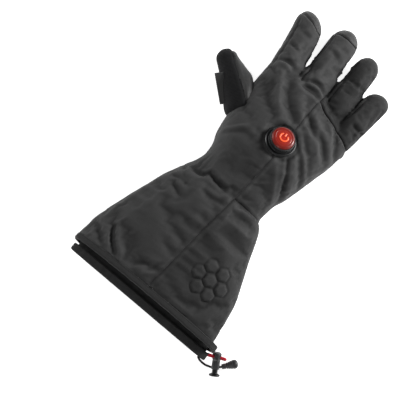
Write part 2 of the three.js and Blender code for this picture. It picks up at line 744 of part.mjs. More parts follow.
// The gaiter: a thin sleeve inside the cuff whose end stands out of the hem.
const gaiterInset = Math.max(cuffWall, hemThickness - hemSwell) + gaiterClearance;
const gaiterEnd = -cuffLength - gaiterReach;
const gaiterStart = gaiterEnd + gaiterLength;
const bindingFrom = gaiterEnd + bindingLength;
const gaiterDroop = 11; // its free end sags this far under the cuff's back
const gaiterLip = 3.5; // its underside ends this much further in
const gaiterRest = 3.2; // height of its underside at the free end, without the binding
function gaiterRing(y, inset, flare) {
  const section = sectionAt(Math.max(y, -cuffLength), gaiterInset + inset - flare);
  flared(section, THREE.MathUtils.smoothstep(-y, cuffLength, cuffLength + hemLength));
  const free = THREE.MathUtils.clamp((y - gaiterStart) / (gaiterEnd - gaiterStart), 0, 1);
  section.top -= gaiterDroop * free;
  const rest = lerp(gaiterInset, gaiterRest, THREE.MathUtils.smoothstep(-y, cuffLength, -gaiterEnd));
  section.floor = rest + inset - flare;
  const ring = loop(section, y, bandSegments, false);
  const height = section.top - section.floor;
  for (const p of ring) p.y += gaiterLip * free * (1 - (p.z - section.floor) / height);
  return ring;
}
function sleeve(from, to, wall, flareFrom, flareTo) {
  const ringAt = (share, inset) =>
    gaiterRing(lerp(from, to, share), inset, lerp(flareFrom, flareTo, share));
  const outer = skin([0, 0.5, 1].map((share) => ringAt(share, 0)));
  const bore = skin([-0.2, 0, 0.5, 1, 1.2].map((share) => ringAt(share, wall)));
  return outer.subtract(bore);
}
const gaiter = sleeve(gaiterStart, bindingFrom + 3 * seamGap, gaiterWall, 0, 0);
const binding = sleeve(bindingFrom, gaiterEnd, bindingThickness, 2.4, 2.4);

// Hardware of the drawcord, lying beside the gaiter's end: the lock slopes down from
// the cord to its foot.
const cordHeight = 9.2; // middle of the cord's two legs
const lockAt = point(0.542 * cuffWidth, -1.086 * cuffLength, cordHeight - 0.9);
const lockWayDeg = -59;
const lockTiltDeg = 13;
const lockSwell = 1.3; // the head is this much higher than wide
const lockFrame = new THREE.Matrix4()
  .makeRotationZ(radians(lockWayDeg))
  .multiply(new THREE.Matrix4().makeRotationY(radians(lockTiltDeg)))
  .setPosition(lockAt);
const alongX = new THREE.Matrix4().makeBasis(point(0, 1, 0), point(0, 0, 1), point(1, 0, 0));
const lockTurn = lockFrame.clone().multiply(alongX);
const lockEnd = lockLength / 2;
const boreRadius = lockBore + capClearance;
const sleeveRadius = boreRadius + 0.8;
const lockHead = turned(
  [
    [0, -lockEnd],
    [lockRadius * 0.8, -lockEnd],
    [lockRadius, -lockEnd + 1.2],
    [lockRadius, -1.8],
    [sleeveRadius * 0.9, 0],
    [0, 0],
  ],
  14,
  lockTurn.clone().scale(point(1, lockSwell, 1)),
);
const lockSleeve = turned(
  [
    [0, -0.6],
    [sleeveRadius, -0.6],
    [sleeveRadius, lockEnd],
    [boreRadius, lockEnd],
    [boreRadius, 0.6],
    [0, 0.6],
  ],
  14,
  lockTurn,
);
const lockBarrelRaw = lockHead.add(lockSleeve);
const footSlope = 1.2; // length of the foot's cone
const stemReach = plungerTravel + footSlope + 2 * capClearance; // from the barrel to the foot's rim
const plunger = turned(
  [
    [0, plungerTravel + 1],
    [lockBore, plungerTravel + 1],
    [lockBore, lockEnd + stemReach - footSlope],
    [plungerFlange, lockEnd + stemReach],
    [plungerFlange, lockEnd + stemReach + 1.5],
    [0, lockEnd + stemReach + 1.5],
  ],
  14,
  lockTurn,
);

// A round cord along chosen points.
function cordSolid(points, radius, sides) {
  const curve = new THREE.CatmullRomCurve3(points);
  const outline = Array.from({ length: sides }, (_, i) => {
    const angle = (2 * Math.PI * i) / sides;
    return new THREE.Vector2(radius * Math.cos(angle), radius * Math.sin(angle));
  });
  const steps = Math.ceil(curve.getLength() / (2.2 * radius));
  const options = { steps, extrudePath: curve, bevelEnabled: false };
  return solidOf(new THREE.ExtrudeGeometry(new THREE.Shape(outline), options));
}
// The red drawcord's two legs, one over the other, leave the gaiter beside the hem,
// run through the lock and meet in a bend. Shares of cuffWidth and cuffLength.
const cordSpread = 2.4; // half the distance between the legs
const cordLegs = [
  { x: 0.469, y: -1.0935, lift: 0.9 },
  { x: 0.4835, y: -1.088, lift: 0.97 },
  { x: 0.5, y: -1.081, lift: 1 },
  { x: 0.516, y: -1.0735, lift: 1 },
  { x: 0.5345, y: -1.0632, lift: 1 },
  { x: 0.5535, y: -1.0534, lift: 1 },
  { x: 0.5686, y: -1.0466, lift: 0.94 },
  { x: 0.5775, y: -1.043, lift: 0.52 },
];
const cordLeg = (sign) =>
  cordLegs.map(({ x, y, lift }) =>
    point(x * cuffWidth, y * cuffLength, cordHeight + sign * lift * cordSpread),
  );
const cordRoute = [...cordLeg(-1), ...cordLeg(1).reverse()];

// The pull tab: a club with a round end, and the black tether from the gaiter's
// corner, under the lock, to the tab's neck.
const tabAt = point(0.5905 * cuffWidth, -1.0925 * cuffLength, tabRadius + 0.3);
const tabWayDeg = 48.6;
const tabFrame = new THREE.Matrix4().makeRotationZ(radians(tabWayDeg)).setPosition(tabAt);
const tetherRoute = [
  point(0.4425 * cuffWidth, -1.1415 * cuffLength, 7.8),
  point(0.4625 * cuffWidth, -1.1495 * cuffLength, 5.4),
  point(0.4855 * cuffWidth, -1.1515 * cuffLength, 3.0),
  point(0.5105 * cuffWidth, -1.1495 * cuffLength, 1.6),
  point(0.5245 * cuffWidth, -1.1445 * cuffLength, 1.45),
  point(0.547 * cuffWidth, -1.1355 * cuffLength, 1.3),
  point(0.5685 * cuffWidth, -1.1195 * cuffLength, 1.5),
  tabAt.clone().add(point(-0.75, -0.85, -0.9)),
];
const tabProfile = [
  [0, 0],
  [tabRadius * 0.52, 0],
  [tabRadius * 0.56, tabLength * 0.1],
  [tabRadius * 0.94, tabLength * 0.66],
  [tabRadius, tabLength * 0.78],
  [tabRadius * 0.88, tabLength * 0.9],
  [tabRadius * 0.5, tabLength * 0.98],
  [0, tabLength],
];
const tab = turned(tabProfile, 12, tabFrame.clone().multiply(alongX));

// The wiper blade on the thumb's outer side, a little over the thumb's axis.
const wiperAt = point(-0.603 * palmWidth, 0.515 * handLength, 0.44 * palmHeight);
const wiperWay = point(-0.732, 0.681, 0); // along the thumb's outer edge
const wiperTurn = new THREE.Matrix4().makeBasis(
  wiperWay,
  point(-wiperWay.y, wiperWay.x, 0),
  point(0, 0, 1),
);
function bladeSolid(width, thickness, length, shift) {
  const geometry = new THREE.BoxGeometry(length, width, thickness);
  geometry.translate(0, shift, 0);
  return solidOf(geometry.applyMatrix4(wiperTurn.clone().setPosition(wiperAt)));
}

// The zip runs in a groove on the palm side, and its pull lies in the same groove.
function ribbon(route, width, low, high) {
  const curve = new THREE.CatmullRomCurve3(route);
  const steps = 12;
  const rings = [];
  for (let i = 0; i <= steps; i++) {
    const at = curve.getPoint(i / steps);
    const way = curve.getTangent(i / steps);
    const across = point(way.y, -way.x, 0).normalize();
    const base = surfaceZ(sectionAt(at.y, 0), at.x, false);
    const corner = (side, z) => {
      const p = at.clone().addScaledVector(across, (side * width) / 2);
      return point(p.x, p.y, base + z);
    };
    rings.push([corner(-1, low), corner(1, low), corner(1, high), corner(-1, high)]);
  }
  return skin(rings);
}
const zipPoints = zipRoute.map(planPoint).map((p) => point(p.x, p.y, 0));
const pullEnd = zipPoints[0].clone().add(point(1.5, -zipPullLength - 1, 0));
const pullPoints = [pullEnd, zipPoints[0].clone().add(point(0, -1, 0))];
const pullStart = zipPoints[0].clone().add(point(0, -3, 0));
const grooveDepth = zipThickness + 0.5 + seamGap;
const zipGroove = ribbon(
  [pullStart, ...zipPoints, zipPoints[3].clone().add(point(-1, 1, 0))],
  zipWidth + 4 * seamGap,
  -far / 8,
  grooveDepth,
).add(
  ribbon(
    [pullEnd.clone().add(point(0.1, -2 * seamGap, 0)), pullPoints[1].clone().add(point(0, 1, 0))],
    zipPullWidth + 4 * seamGap,
    -far / 8,
    grooveDepth,
  ),
);
const zip = ribbon(zipPoints, zipWidth, 0.5, 0.5 + zipThickness);
const zipPull = ribbon(pullPoints, zipPullWidth, 0.4, 0.4 + zipThickness);

// Button pieces
const flange = turned(
  [
    [0, 0],
    [flangeRadius, 0],
    [flangeRadius, flangeThickness * 0.5],
    [flangeRadius - 0.8, flangeThickness],
    [0, flangeThickness],
  ],
  28,
  buttonFrame,
);
const barrelFrom = flangeThickness + seamGap;
const barrelTop = flangeThickness + barrelHeight;
const barrelFloor = barrelFrom + 1.4;
const barrel = turned(
  [
    [0, barrelFrom],
    [barrelRadius, barrelFrom],
    [barrelRadius, barrelTop - 0.5],
    [barrelRadius - 0.4, barrelTop],
    [barrelRadius - barrelWall, barrelTop],
    [barrelRadius - barrelWall, barrelFloor],
    [0, barrelFloor],
  ],
  28,
  buttonFrame,
);
const lensRadius = barrelRadius - barrelWall - capClearance;
const lensBase = barrelFloor + capTravel + seamGap;
const lensTop = barrelTop + capDome;
const lensFlat = 0.72; // the flat middle of the lens, share of its radius
const lens = turned(
  [
    [0, lensBase],
    [lensRadius, lensBase],
    [lensRadius, barrelTop + capTravel * 0.4],
    [lensRadius * 0.93, lensTop - 0.5],
    [lensRadius * lensFlat, lensTop],
    [0, lensTop],
  ],
  28,
  buttonFrame,
);
function symbolSolid() {
  const shape = new THREE.Shape();
  const [outer, inner] = [symbolRadius, symbolRadius - symbolStroke];
  const open = radians(34);
  const start = Math.PI / 2 + open;
  const stop = Math.PI / 2 - open + 2 * Math.PI;
  shape.absarc(0, 0, outer, start, stop, false);
  shape.absarc(0, 0, inner, stop, start, true);
  const options = { depth: symbolHeight, bevelEnabled: false, curveSegments: 8 };
  const arc = new THREE.ExtrudeGeometry(shape, options);
  const lift = new THREE.Matrix4().makeTranslation(0, 0, lensTop + seamGap);
  return solidOf(arc.applyMatrix4(buttonFrame.clone().multiply(lift)));
}
function symbolBar() {
  const bar = new THREE.BoxGeometry(symbolStroke, symbolRadius, symbolHeight);
  bar.translate(0, symbolRadius * 0.62, symbolHeight / 2 + lensTop + seamGap);
  return solidOf(bar.applyMatrix4(buttonFrame));
}

// Materials
const finish = (color, roughness, metalness = 0) =>
  new THREE.MeshStandardMaterial({ color, roughness, metalness });
const shellCloth = finish(0x3c3c3d, 0.82);
const fingerCloth = finish(0x333334, 0.85);
const leather = finish(0x38383a, 0.6);
const knit = finish(0x1e1e1f, 0.95);
const gaiterCloth = finish(0x161617, 0.9);
const rubber = finish(0x565758, 0.7);
const blackPlastic = finish(0x1a1b1c, 0.45);
const redLens = finish(0xd8351c, 0.3);
const redSymbol = finish(0xff6a30, 0.35);
const redCord = finish(0xb8142c, 0.8);

// Assembly
const glove = new THREE.Group();
function addPiece(name, solid, material) {
  const geometry = geometryOf(solid);
  geometry.computeVertexNormals();
  const mesh = new THREE.Mesh(geometry, material);
  mesh.name = name;
  glove.add(mesh);
  return mesh;
}

const half = seamGap / 2;
const mainSide = besideBlock(longSeam, -half);
const otherSide = besideBlock(longSeam, half);
let backMain = backSeated.intersect(mainSide);
for (const cap of caps) {
  const cut = backMain.intersect(tipCap(cap.finger, cap.lean, cap.depth, half));
  backMain = backMain.subtract(tipCap(cap.finger, cap.lean, cap.depth, -half));
  addPiece(cap.name, mainBody(cut), leather);
}
addPiece("back_main_panel", mainBody(backMain), shellCloth);
const backOther = backSeated.subtract(otherSide);
const wristLine = (shift) => crossBlock(wristSeam, shift);
addPiece(
  "ring_little_back",
  mainBody(backOther.intersect(beyondBlock(knuckleSeam, half))),
  fingerCloth,
);
addPiece(
  "back_side_panel",
  mainBody(backOther.subtract(beyondBlock(knuckleSeam, -half)).intersect(wristLine(half))),
  shellCloth,
);
let cuffPanel = mainBody(backOther.subtract(wristLine(-half)));
for (const stud of honeycomb()) cuffPanel = cuffPanel.add(stud);
addPiece("cuff_side_panel", cuffPanel, shellCloth);

const palmGrooved = palmPanels.subtract(zipGroove);
addPiece("palm", mainBody(palmGrooved.intersect(beyondBlock(palmSeam, half))), leather);
addPiece(
  "palm_heel",
  mainBody(
    palmGrooved
      .subtract(beyondBlock(palmSeam, -half))
      .intersect(crossBlock(heelSeam, half)),
  ),
  leather,
);
addPiece("cuff_under_panel", mainBody(palmGrooved.subtract(crossBlock(heelSeam, -half))), shellCloth);
for (const gap of gaps)
  addPiece(gap.name, mainBody(handShell.intersect(gap.band)), knit);

// The thumb's leather face lies towards the index finger and the palm.
const faceLine = 0.3; // where the face starts on the back, share of the half width
function faceBlock(shift) {
  const block = new THREE.BoxGeometry(far, far, far);
  block.translate(far / 2 + shift, 0, 0);
  const turn = new THREE.Matrix4().makeBasis(
    thumbAcross,
    point(thumbWay.x, thumbWay.y, 0).normalize(),
    point(0, 0, 1),
  );
  const lean = new THREE.Matrix4().makeRotationY(radians(-14));
  const at = thumbFrames[3].centre.clone().addScaledVector(thumbAcross, faceLine * thumbFrames[3].halfX);
  return solidOf(block.applyMatrix4(turn.multiply(lean).setPosition(at)));
}
addPiece("thumb_face", mainBody(thumbShell.intersect(faceBlock(half))), leather);
addPiece("thumb_back", mainBody(thumbShell.subtract(faceBlock(-half))), knit);
const thumbClear = thumbSolid(-seamGap, 16);
const blade = bladeSolid(2 * wiperWidth, wiperThickness, wiperLength, -wiperWidth / 2);
addPiece("thumb_wiper", mainBody(blade.subtract(thumbClear).subtract(handClear)), rubber);

addPiece("cuff_hem", hem, shellCloth);
addPiece("gaiter", gaiter, gaiterCloth);
addPiece("gaiter_binding", binding, gaiterCloth);
const drawcord = cordSolid(cordRoute, cordRadius, 8);
const drawcordClear = cordSolid(cordRoute, cordRadius + 0.4, 8);
addPiece("drawcord", drawcord, redCord);
addPiece("cord_lock_barrel", mainBody(lockBarrelRaw.subtract(drawcordClear)), blackPlastic);
addPiece("cord_lock_plunger", plunger, blackPlastic);
addPiece("cord_tether", cordSolid(tetherRoute, tetherRadius, 8), gaiterCloth);
addPiece("pull_tab", tab, blackPlastic);

addPiece("button_flange", flange, blackPlastic);
addPiece("button_barrel", barrel, blackPlastic);
addPiece("button_lens", lens, redLens);
addPiece("button_symbol", symbolSolid(), redSymbol);
addPiece("button_symbol_bar", symbolBar(), redSymbol);
addPiece("zip", zip, blackPlastic);
addPiece("zip_pull", zipPull, redCord);

// The origin goes under the middle of the glove without its drawcord.
const cordPieces = ["drawcord", "cord_lock_barrel", "cord_lock_plunger", "cord_tether", "pull_tab"];
const bounds = new THREE.Box3();
for (const mesh of glove.children)
  if (!cordPieces.includes(mesh.name)) bounds.expandByObject(mesh);
const middle = bounds.getCenter(point(0, 0, 0));
glove.position.set(...[-middle.x, -middle.y, -bounds.min.z].map(onGridLine));

export default glove;
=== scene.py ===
"""Looks of a heated gauntlet glove for the right hand, lying palm down.

The soft form is worked out as numpy surfaces from the same sizes as the solids, joined into
one skin, folded, puffed by a cloth simulation and cut along its seams into sewn panels.
Glove frame: millimetres, +Y from the wrist line to the fingertips, thumb on the -X side.
"""

import logging
import math
from dataclasses import dataclass, field, replace
from enum import Enum, IntEnum
from typing import Callable, List, Optional, Sequence, Tuple

import bpy
import numpy as np
from mathutils import Matrix, Vector
from mathutils.bvhtree import BVHTree

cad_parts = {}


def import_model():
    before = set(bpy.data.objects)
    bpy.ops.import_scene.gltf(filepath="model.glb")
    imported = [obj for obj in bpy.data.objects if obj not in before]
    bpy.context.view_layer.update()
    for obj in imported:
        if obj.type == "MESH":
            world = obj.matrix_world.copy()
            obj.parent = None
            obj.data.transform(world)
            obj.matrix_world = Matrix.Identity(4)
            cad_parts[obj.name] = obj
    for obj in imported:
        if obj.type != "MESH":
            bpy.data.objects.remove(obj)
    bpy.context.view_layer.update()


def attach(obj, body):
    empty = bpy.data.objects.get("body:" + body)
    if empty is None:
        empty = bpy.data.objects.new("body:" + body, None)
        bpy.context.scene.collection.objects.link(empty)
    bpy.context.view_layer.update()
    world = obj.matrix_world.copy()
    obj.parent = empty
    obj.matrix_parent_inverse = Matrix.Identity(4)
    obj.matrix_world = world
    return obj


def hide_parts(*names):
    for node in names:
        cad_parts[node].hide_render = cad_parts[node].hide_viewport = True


log = logging.getLogger("glove")
MM = 0.001
SHIFT = np.array([5.43, -18.92, 0.0])  # glove frame to the part's frame
BODY = "glove"
CAP = "button_cap"
PLUNGER = "lock_plunger"
FAR = 99.0  # a distance that stands for out of reach
HASH = (73856093, 19349663, 83492791, 2654435761, 1274126177)  # odd numbers that scatter cells
Array = np.ndarray
Shape = Tuple[Array, Array]  # points and quads
Rows = Sequence[Sequence[float]]
Piece = bpy.types.Object
Socket = bpy.types.NodeSocket


# ---- numbers and surfaces ----
def to_part(points: Array) -> Array:
    """Glove-frame millimetres as part-frame metres."""
    return (np.asarray(points, float) + SHIFT) * MM


def smoothstep(x: Array, low: float, high: float) -> Array:
    """0 before low, 1 after high, and a smooth S between."""
    t = np.clip((np.asarray(x, float) - low) / (high - low), 0, 1)
    return t * t * (3 - 2 * t)


def lerp(a: Array, b: Array, t: Array) -> Array:
    """The value a share t of the way from a to b."""
    return a + (b - a) * t


def bell(distance: Array, width: float) -> Array:
    """A bell curve, 1 at distance 0 and nearly 0 past two widths."""
    return np.exp(-((distance / width) ** 2))


def unit(vectors: Array) -> Array:
    """Rows of vectors, each made one long."""
    return vectors / np.maximum(np.linalg.norm(vectors, axis=-1, keepdims=True), 1e-12)


def run_along(line: Array) -> Array:
    """The length run along a polyline at each of its points."""
    return np.concatenate([[0], np.cumsum(np.linalg.norm(np.diff(line, axis=0), axis=1))])


def ring_angles(count: int, start: float = 0.0) -> Array:
    """Even angles round a circle, moved on by a share of a step."""
    return 2 * np.pi * (np.arange(count) + start) / count


def squared(wave: Array, power: float) -> Array:
    """A sine or cosine pushed outwards, which makes a circle a rounded square."""
    return np.sign(wave) * np.abs(wave) ** power


def read_table(places: Array, values: Array, at: Array) -> Array:
    """A smooth curve through table rows.

    Args:
        places: The rows' places, rising.
        values: The rows' values.
        at: Where to read.

    Returns:
        Hermite interpolation whose slope at a row is that of its two neighbours.
    """
    at = np.clip(at, places[0], places[-1])
    slopes = np.empty(len(values))
    slopes[1:-1] = (values[2:] - values[:-2]) / (places[2:] - places[:-2])
    slopes[0] = (values[1] - values[0]) / (places[1] - places[0])
    slopes[-1] = (values[-1] - values[-2]) / (places[-1] - places[-2])
    i = np.clip(np.searchsorted(places, at, side="right") - 1, 0, len(places) - 2)
    span = places[i + 1] - places[i]
    t = (at - places[i]) / span
    rise = values[i + 1] - values[i]
    start = slopes[i] * span - rise
    stop = rise - slopes[i + 1] * span
    return values[i] + t * rise + t * (1 - t) * ((1 - t) * start + t * stop)


def noise(points: Array, scale: Sequence[float], seed: int) -> Array:
    """Smooth value noise from -1 to 1.

    Args:
        points: (N, 3) places.
        scale: Size of one cell along each axis.
        seed: Chooses the pattern.

    Returns:
        Hashed lattice values blended with smoothsteps.
    """
    p = points / np.asarray(scale, float) + 311.7
    cell = np.floor(p).astype(np.int64)
    f = p - cell
    f = f * f * (3 - 2 * f)
    total = np.zeros(len(points))
    for corner in range(8):
        bits = np.array([corner & 1, (corner >> 1) & 1, corner >> 2])
        c = cell + bits
        h = (c[:, 0] * HASH[0]) ^ (c[:, 1] * HASH[1]) ^ (c[:, 2] * HASH[2]) ^ (seed * HASH[3])
        h = (h ^ (h >> 13)) * HASH[4]
        value = ((h ^ (h >> 16)) & 0xFFFF) / 32767.5 - 1
        total += value * np.prod(np.where(bits == 1, f, 1 - f), axis=1)
    return total


@dataclass(frozen=True)
class Ripple:
    """Smooth random unevenness: the size of its cells, its height and its pattern's seed."""

    cell: Tuple[float, float, float]
    height: float
    seed: int

    def at(self, points: Array, share: Array = 1.0) -> Array:
        """Its height at points, times a share."""
        return share * self.height * noise(points, self.cell, self.seed)


def tube_faces(rows: int, columns: int) -> Array:
    """Quads of a (rows, columns) grid whose columns close into a ring."""
    r, c = np.meshgrid(np.arange(rows - 1), np.arange(columns), indexing="ij")
    n = (c + 1) % columns
    quads = [r * columns + c, r * columns + n, (r + 1) * columns + n, (r + 1) * columns + c]
    return np.stack(quads, -1).reshape(-1, 4)


def sheet_faces(rows: int, columns: int) -> Array:
    """Quads of an open (rows, columns) grid."""
    r, c = np.meshgrid(np.arange(rows - 1), np.arange(columns - 1), indexing="ij")
    a = r * columns + c
    return np.stack([a, a + 1, a + columns + 1, a + columns], -1).reshape(-1, 4)


def capped(grid: Array) -> Shape:
    """A ring grid closed at both ends by fans to the middle of each end ring.

    Args:
        grid: (rows, columns, 3) points.

    Returns:
        Points, and quads in which a fan's triangle repeats its last corner.
    """
    rows, columns = grid.shape[:2]
    points = np.vstack([grid.reshape(-1, 3), grid[0].mean(0), grid[-1].mean(0)])
    c = np.arange(columns)
    n = (c + 1) % columns
    first, last = rows * columns, rows * columns + 1
    low = np.stack([np.full(columns, first), n, c, c], -1)
    top = (rows - 1) * columns
    high = np.stack([np.full(columns, last), top + c, top + n, top + n], -1)
    return points, outward(points, np.vstack([tube_faces(rows, columns), low, high]))


def outward(points: Array, faces: Array) -> Array:
    """The faces of a closed surface, turned round if its signed volume is negative."""
    a, b, c = points[faces[:, 0]], points[faces[:, 1]], points[faces[:, 2]]
    d = points[faces[:, -1]]
    volume = np.einsum("ij,ij->", a, np.cross(b, c)) + np.einsum("ij,ij->", a, np.cross(c, d))
    return faces if volume > 0 else faces[:, ::-1]


def stacked(parts: Sequence[Shape]) -> Shape:
    """Several surfaces as one list of points and quads."""
    starts = np.cumsum([0] + [len(p) for p, _ in parts[:-1]])
    return np.vstack([p for p, _ in parts]), np.vstack([f + s for (_, f), s in zip(parts, starts)])


def walled(points: Array, faces: Array, inward: Array) -> Tuple[Array, Array, Array]:
    """A closed wall from part of a skin: its face, its inner side and its rim.

    Args:
        points: The skin's points.
        faces: The quads of the part.
        inward: Step from each of the skin's points to the inner side.

    Returns:
        The skin's point behind each new point, the new points and the quads.
    """
    used, new = np.unique(faces, return_inverse=True)
    new = new.reshape(faces.shape)
    count = len(used)
    edges = np.vstack([new[:, [k, (k + 1) % 4]] for k in range(4)])
    edges = edges[edges[:, 0] != edges[:, 1]]
    codes = edges[:, 0] * count + edges[:, 1]
    rim = edges[~np.isin(codes, edges[:, 1] * count + edges[:, 0])]
    rim = np.stack([rim[:, 1], rim[:, 0], rim[:, 0] + count, rim[:, 1] + count], -1)
    flipped = new[:, [2, 1, 0, 0]] + count
    flipped = np.where((new[:, 3] == new[:, 2])[:, None], flipped, new[:, [3, 2, 1, 0]] + count)
    shell = np.vstack([points[used], points[used] + inward[used]])
    return np.concatenate([used, used]), shell, np.vstack([new, flipped, rim])


def point_normals(points: Array, faces: Array) -> Array:
    """Unit normals at the points: the sum of the faces' diagonal cross products."""
    a, b, c, d = (points[faces[:, k]] for k in (0, 1, 2, -1))
    normal = np.cross(c - a, d - b)
    total = np.stack(
        [
            np.bincount(faces.ravel(), np.repeat(normal[:, k], faces.shape[1]), len(points))
            for k in range(3)
        ],
        -1,
    )
    return unit(total)


def edges_of(faces: Array) -> Array:
    """The unique edges of quads, as (E, 2)."""
    pairs = np.vstack([faces[:, [k, (k + 1) % faces.shape[1]]] for k in range(faces.shape[1])])
    pairs = np.unique(np.sort(pairs, axis=1), axis=0)
    return pairs[pairs[:, 0] != pairs[:, 1]]


def relaxed(values: Array, edges: Array, steps: int, share: float = 0.5) -> Array:
    """Values at points moved a share of the way to their neighbours' mean, some times over."""
    flat = values.reshape(len(values), -1)
    count = np.bincount(edges.ravel(), minlength=len(flat))[:, None]
    for _ in range(steps):
        total = np.stack(
            [
                np.bincount(edges[:, 0], flat[edges[:, 1], k], len(flat))
                + np.bincount(edges[:, 1], flat[edges[:, 0], k], len(flat))
                for k in range(flat.shape[1])
            ],
            -1,
        )
        flat = lerp(flat, total / np.maximum(count, 1), share)
    return flat.reshape(values.shape)


def line_distance(points: Array, line: Array) -> Tuple[Array, Array]:
    """Distance to a polyline in the plan, and the share of its length at the nearest place."""
    best = np.full(len(points), np.inf)
    share = np.zeros(len(points))
    lengths = np.linalg.norm(np.diff(line, axis=0), axis=1)
    total, done = lengths.sum(), 0.0
    for a, b, length in zip(line[:-1], line[1:], lengths):
        t = np.clip((points[:, :2] - a) @ (b - a) / length**2, 0, 1)
        away = np.linalg.norm(points[:, :2] - (a + t[:, None] * (b - a)), axis=1)
        near = away < best
        best = np.where(near, away, best)
        share = np.where(near, (done + t * length) / total, share)
        done += length
    return best, share


def smooth_line(knots: Rows, count: int) -> Array:
    """A Catmull-Rom curve through knots, centripetal, at evenly spaced parameters.

    Args:
        knots: The points that it goes through.
        count: Number of points to return.

    Returns:
        (count, dimensions) points, as three.js's CatmullRomCurve3 gives them.
    """
    k = np.asarray(knots, float)
    k = np.vstack([2 * k[0] - k[1], k, 2 * k[-1] - k[-2]])
    t = np.linspace(0, len(k) - 3 - 1e-9, count)
    i = t.astype(int)
    u = (t - i)[:, None]
    p0, p1, p2, p3 = k[i], k[i + 1], k[i + 2], k[i + 3]
    d0 = np.maximum(np.sum((p1 - p0) ** 2, 1), 1e-8)[:, None] ** 0.25
    d1 = np.maximum(np.sum((p2 - p1) ** 2, 1), 1e-8)[:, None] ** 0.25
    d2 = np.maximum(np.sum((p3 - p2) ** 2, 1), 1e-8)[:, None] ** 0.25
    m1 = ((p1 - p0) / d0 - (p2 - p0) / (d0 + d1) + (p2 - p1) / d1) * d1
    m2 = ((p2 - p1) / d1 - (p3 - p1) / (d1 + d2) + (p3 - p2) / d2) * d1
    return (
        (2 * u**3 - 3 * u**2 + 1) * p1
        + (u**3 - 2 * u**2 + u) * m1
        + (3 * u**2 - 2 * u**3) * p2
        + (u**3 - u**2) * m2
    )


# ---- Blender objects ----
def mesh_object(name: str, points: Array, faces: Array, smooth: bool = True) -> Piece:
    """A mesh object in the scene from points in metres and quads.

    Args:
        name: The object's name.
        points: (N, 3) points in metres.
        faces: (F, 4) quads; a repeated last corner makes a triangle.
        smooth: Whether its faces shade smoothly.

    Returns:
        The object, at the origin.
    """
    mesh = bpy.data.meshes.new(name)
    plain = faces[:, -1] != faces[:, -2]
    lists = faces[plain].tolist() + faces[~plain][:, :3].tolist()
    mesh.from_pydata(np.asarray(points, float).tolist(), [], lists)
    mesh.polygons.foreach_set("use_smooth", np.full(len(mesh.polygons), smooth))
    mesh.update()
    made = bpy.data.objects.new(name, mesh)
    bpy.context.scene.collection.objects.link(made)
    return made


def evaluated(obj: Piece) -> Shape:
    """Points and quads of an object with its modifiers applied; the object is removed."""
    bpy.context.view_layer.update()
    mesh = obj.evaluated_get(bpy.context.evaluated_depsgraph_get()).to_mesh()
    points = np.empty(len(mesh.vertices) * 3)
    mesh.vertices.foreach_get("co", points)
    total = np.empty(len(mesh.polygons), np.int32)
    mesh.polygons.foreach_get("loop_total", total)
    start = np.empty(len(mesh.polygons), np.int32)
    mesh.polygons.foreach_get("loop_start", start)
    loops = np.empty(len(mesh.loops), np.int32)
    mesh.loops.foreach_get("vertex_index", loops)
    faces = loops[start[:, None] + np.minimum(np.arange(4), total[:, None] - 1)]
    obj.to_mesh_clear()
    bpy.data.objects.remove(obj)
    return points.reshape(-1, 3), faces


def voxel_skin(points: Array, faces: Array, voxel: float) -> Shape:
    """The outer skin of closed surfaces that run through each other, as even quads.

    Args:
        points: Points in millimetres.
        faces: Quads that face outwards.
        voxel: Size of a quad in millimetres.

    Returns:
        The remeshed points and quads.
    """
    obj = mesh_object("scratch_skin", points, faces)
    voxels = obj.modifiers.new("voxels", "REMESH")
    voxels.mode = "VOXEL"
    voxels.voxel_size = voxel
    return evaluated(obj)


# ---- the glove's form ----
@dataclass
class Section:
    """Sections of the hand and cuff at some Y: arrays of their sizes."""

    middle: Array
    half: Array
    top: Array
    floor: Array
    seam: Array


@dataclass(frozen=True)
class Finger:
    """One finger; see GloveForm.finger_grid for what its shares mean."""

    name: str
    root: float
    tip: float
    reach: float
    bow: float
    width: float
    neck: float
    round: float


FINGERS = (
    Finger("index", -0.27, -0.37, 0.87, 2.8, 0.985, 0.88, 0.6),
    Finger("middle", 0.006, 0.0, 1.0, 1, 1.0, 0.86, 0.62),
    Finger("ring", 0.27, 0.284, 0.88, 1, 0.87, 0.88, 0.68),
    Finger("little", 0.452, 0.548, 0.535, 1, 0.835, 0.98, 0.58),
)
# How far two neighbouring fingers press into their slit at its root and further out, the Y at
# which they part, and how far they then stand back from it, in millimetres, thumb side first.
SLITS = ((1.95, 1.5, 127.0, 0.7), (2.35, 1.7, 136.0, 1.5), (0.2, 1.0, 136.0, 0.3))
# Sections of the cuff: share of its length, flare, shift and rise, hem first.
CUFF_ROWS = np.array([
    [1.0, 1.0, -0.042, 1.0],
    [0.9, 0.955, -0.042, 0.8],
    [0.82, 0.914, -0.04, 0.6],
    [0.7, 0.82, -0.033, 0.4],
    [0.555, 0.656, -0.033, 0.2],
    [0.427, 0.494, -0.033, 0.1],
    [0.3, 0.346, -0.03, 0.1],
    [0.2, 0.2, -0.025, 0.3],
    [0.145, 0.08, -0.031, 0.7],
    [0.067, 0.02, -0.011, 0.2],
])
# Sections of the hand: share of its length, spread, shift, top and arch, wrist first.
HAND_ROWS = np.array([
    [0.0, 0.0, 0.005, 0.88, 0.0],
    [0.114, 0.18, 0.026, 0.945, 0.0],
    [0.219, 0.429, 0.025, 0.99, 0.0],
    [0.386, 0.671, 0.041, 0.97, 0.0],
    [0.544, 0.835, 0.062, 0.92, 0.03],
    [0.684, 0.881, 0.075, 0.865, 0.075],
    [0.816, 0.935, 0.085, 0.81, 0.12],
    [0.9, 0.823, 0.074, 0.77, 0.16],
])
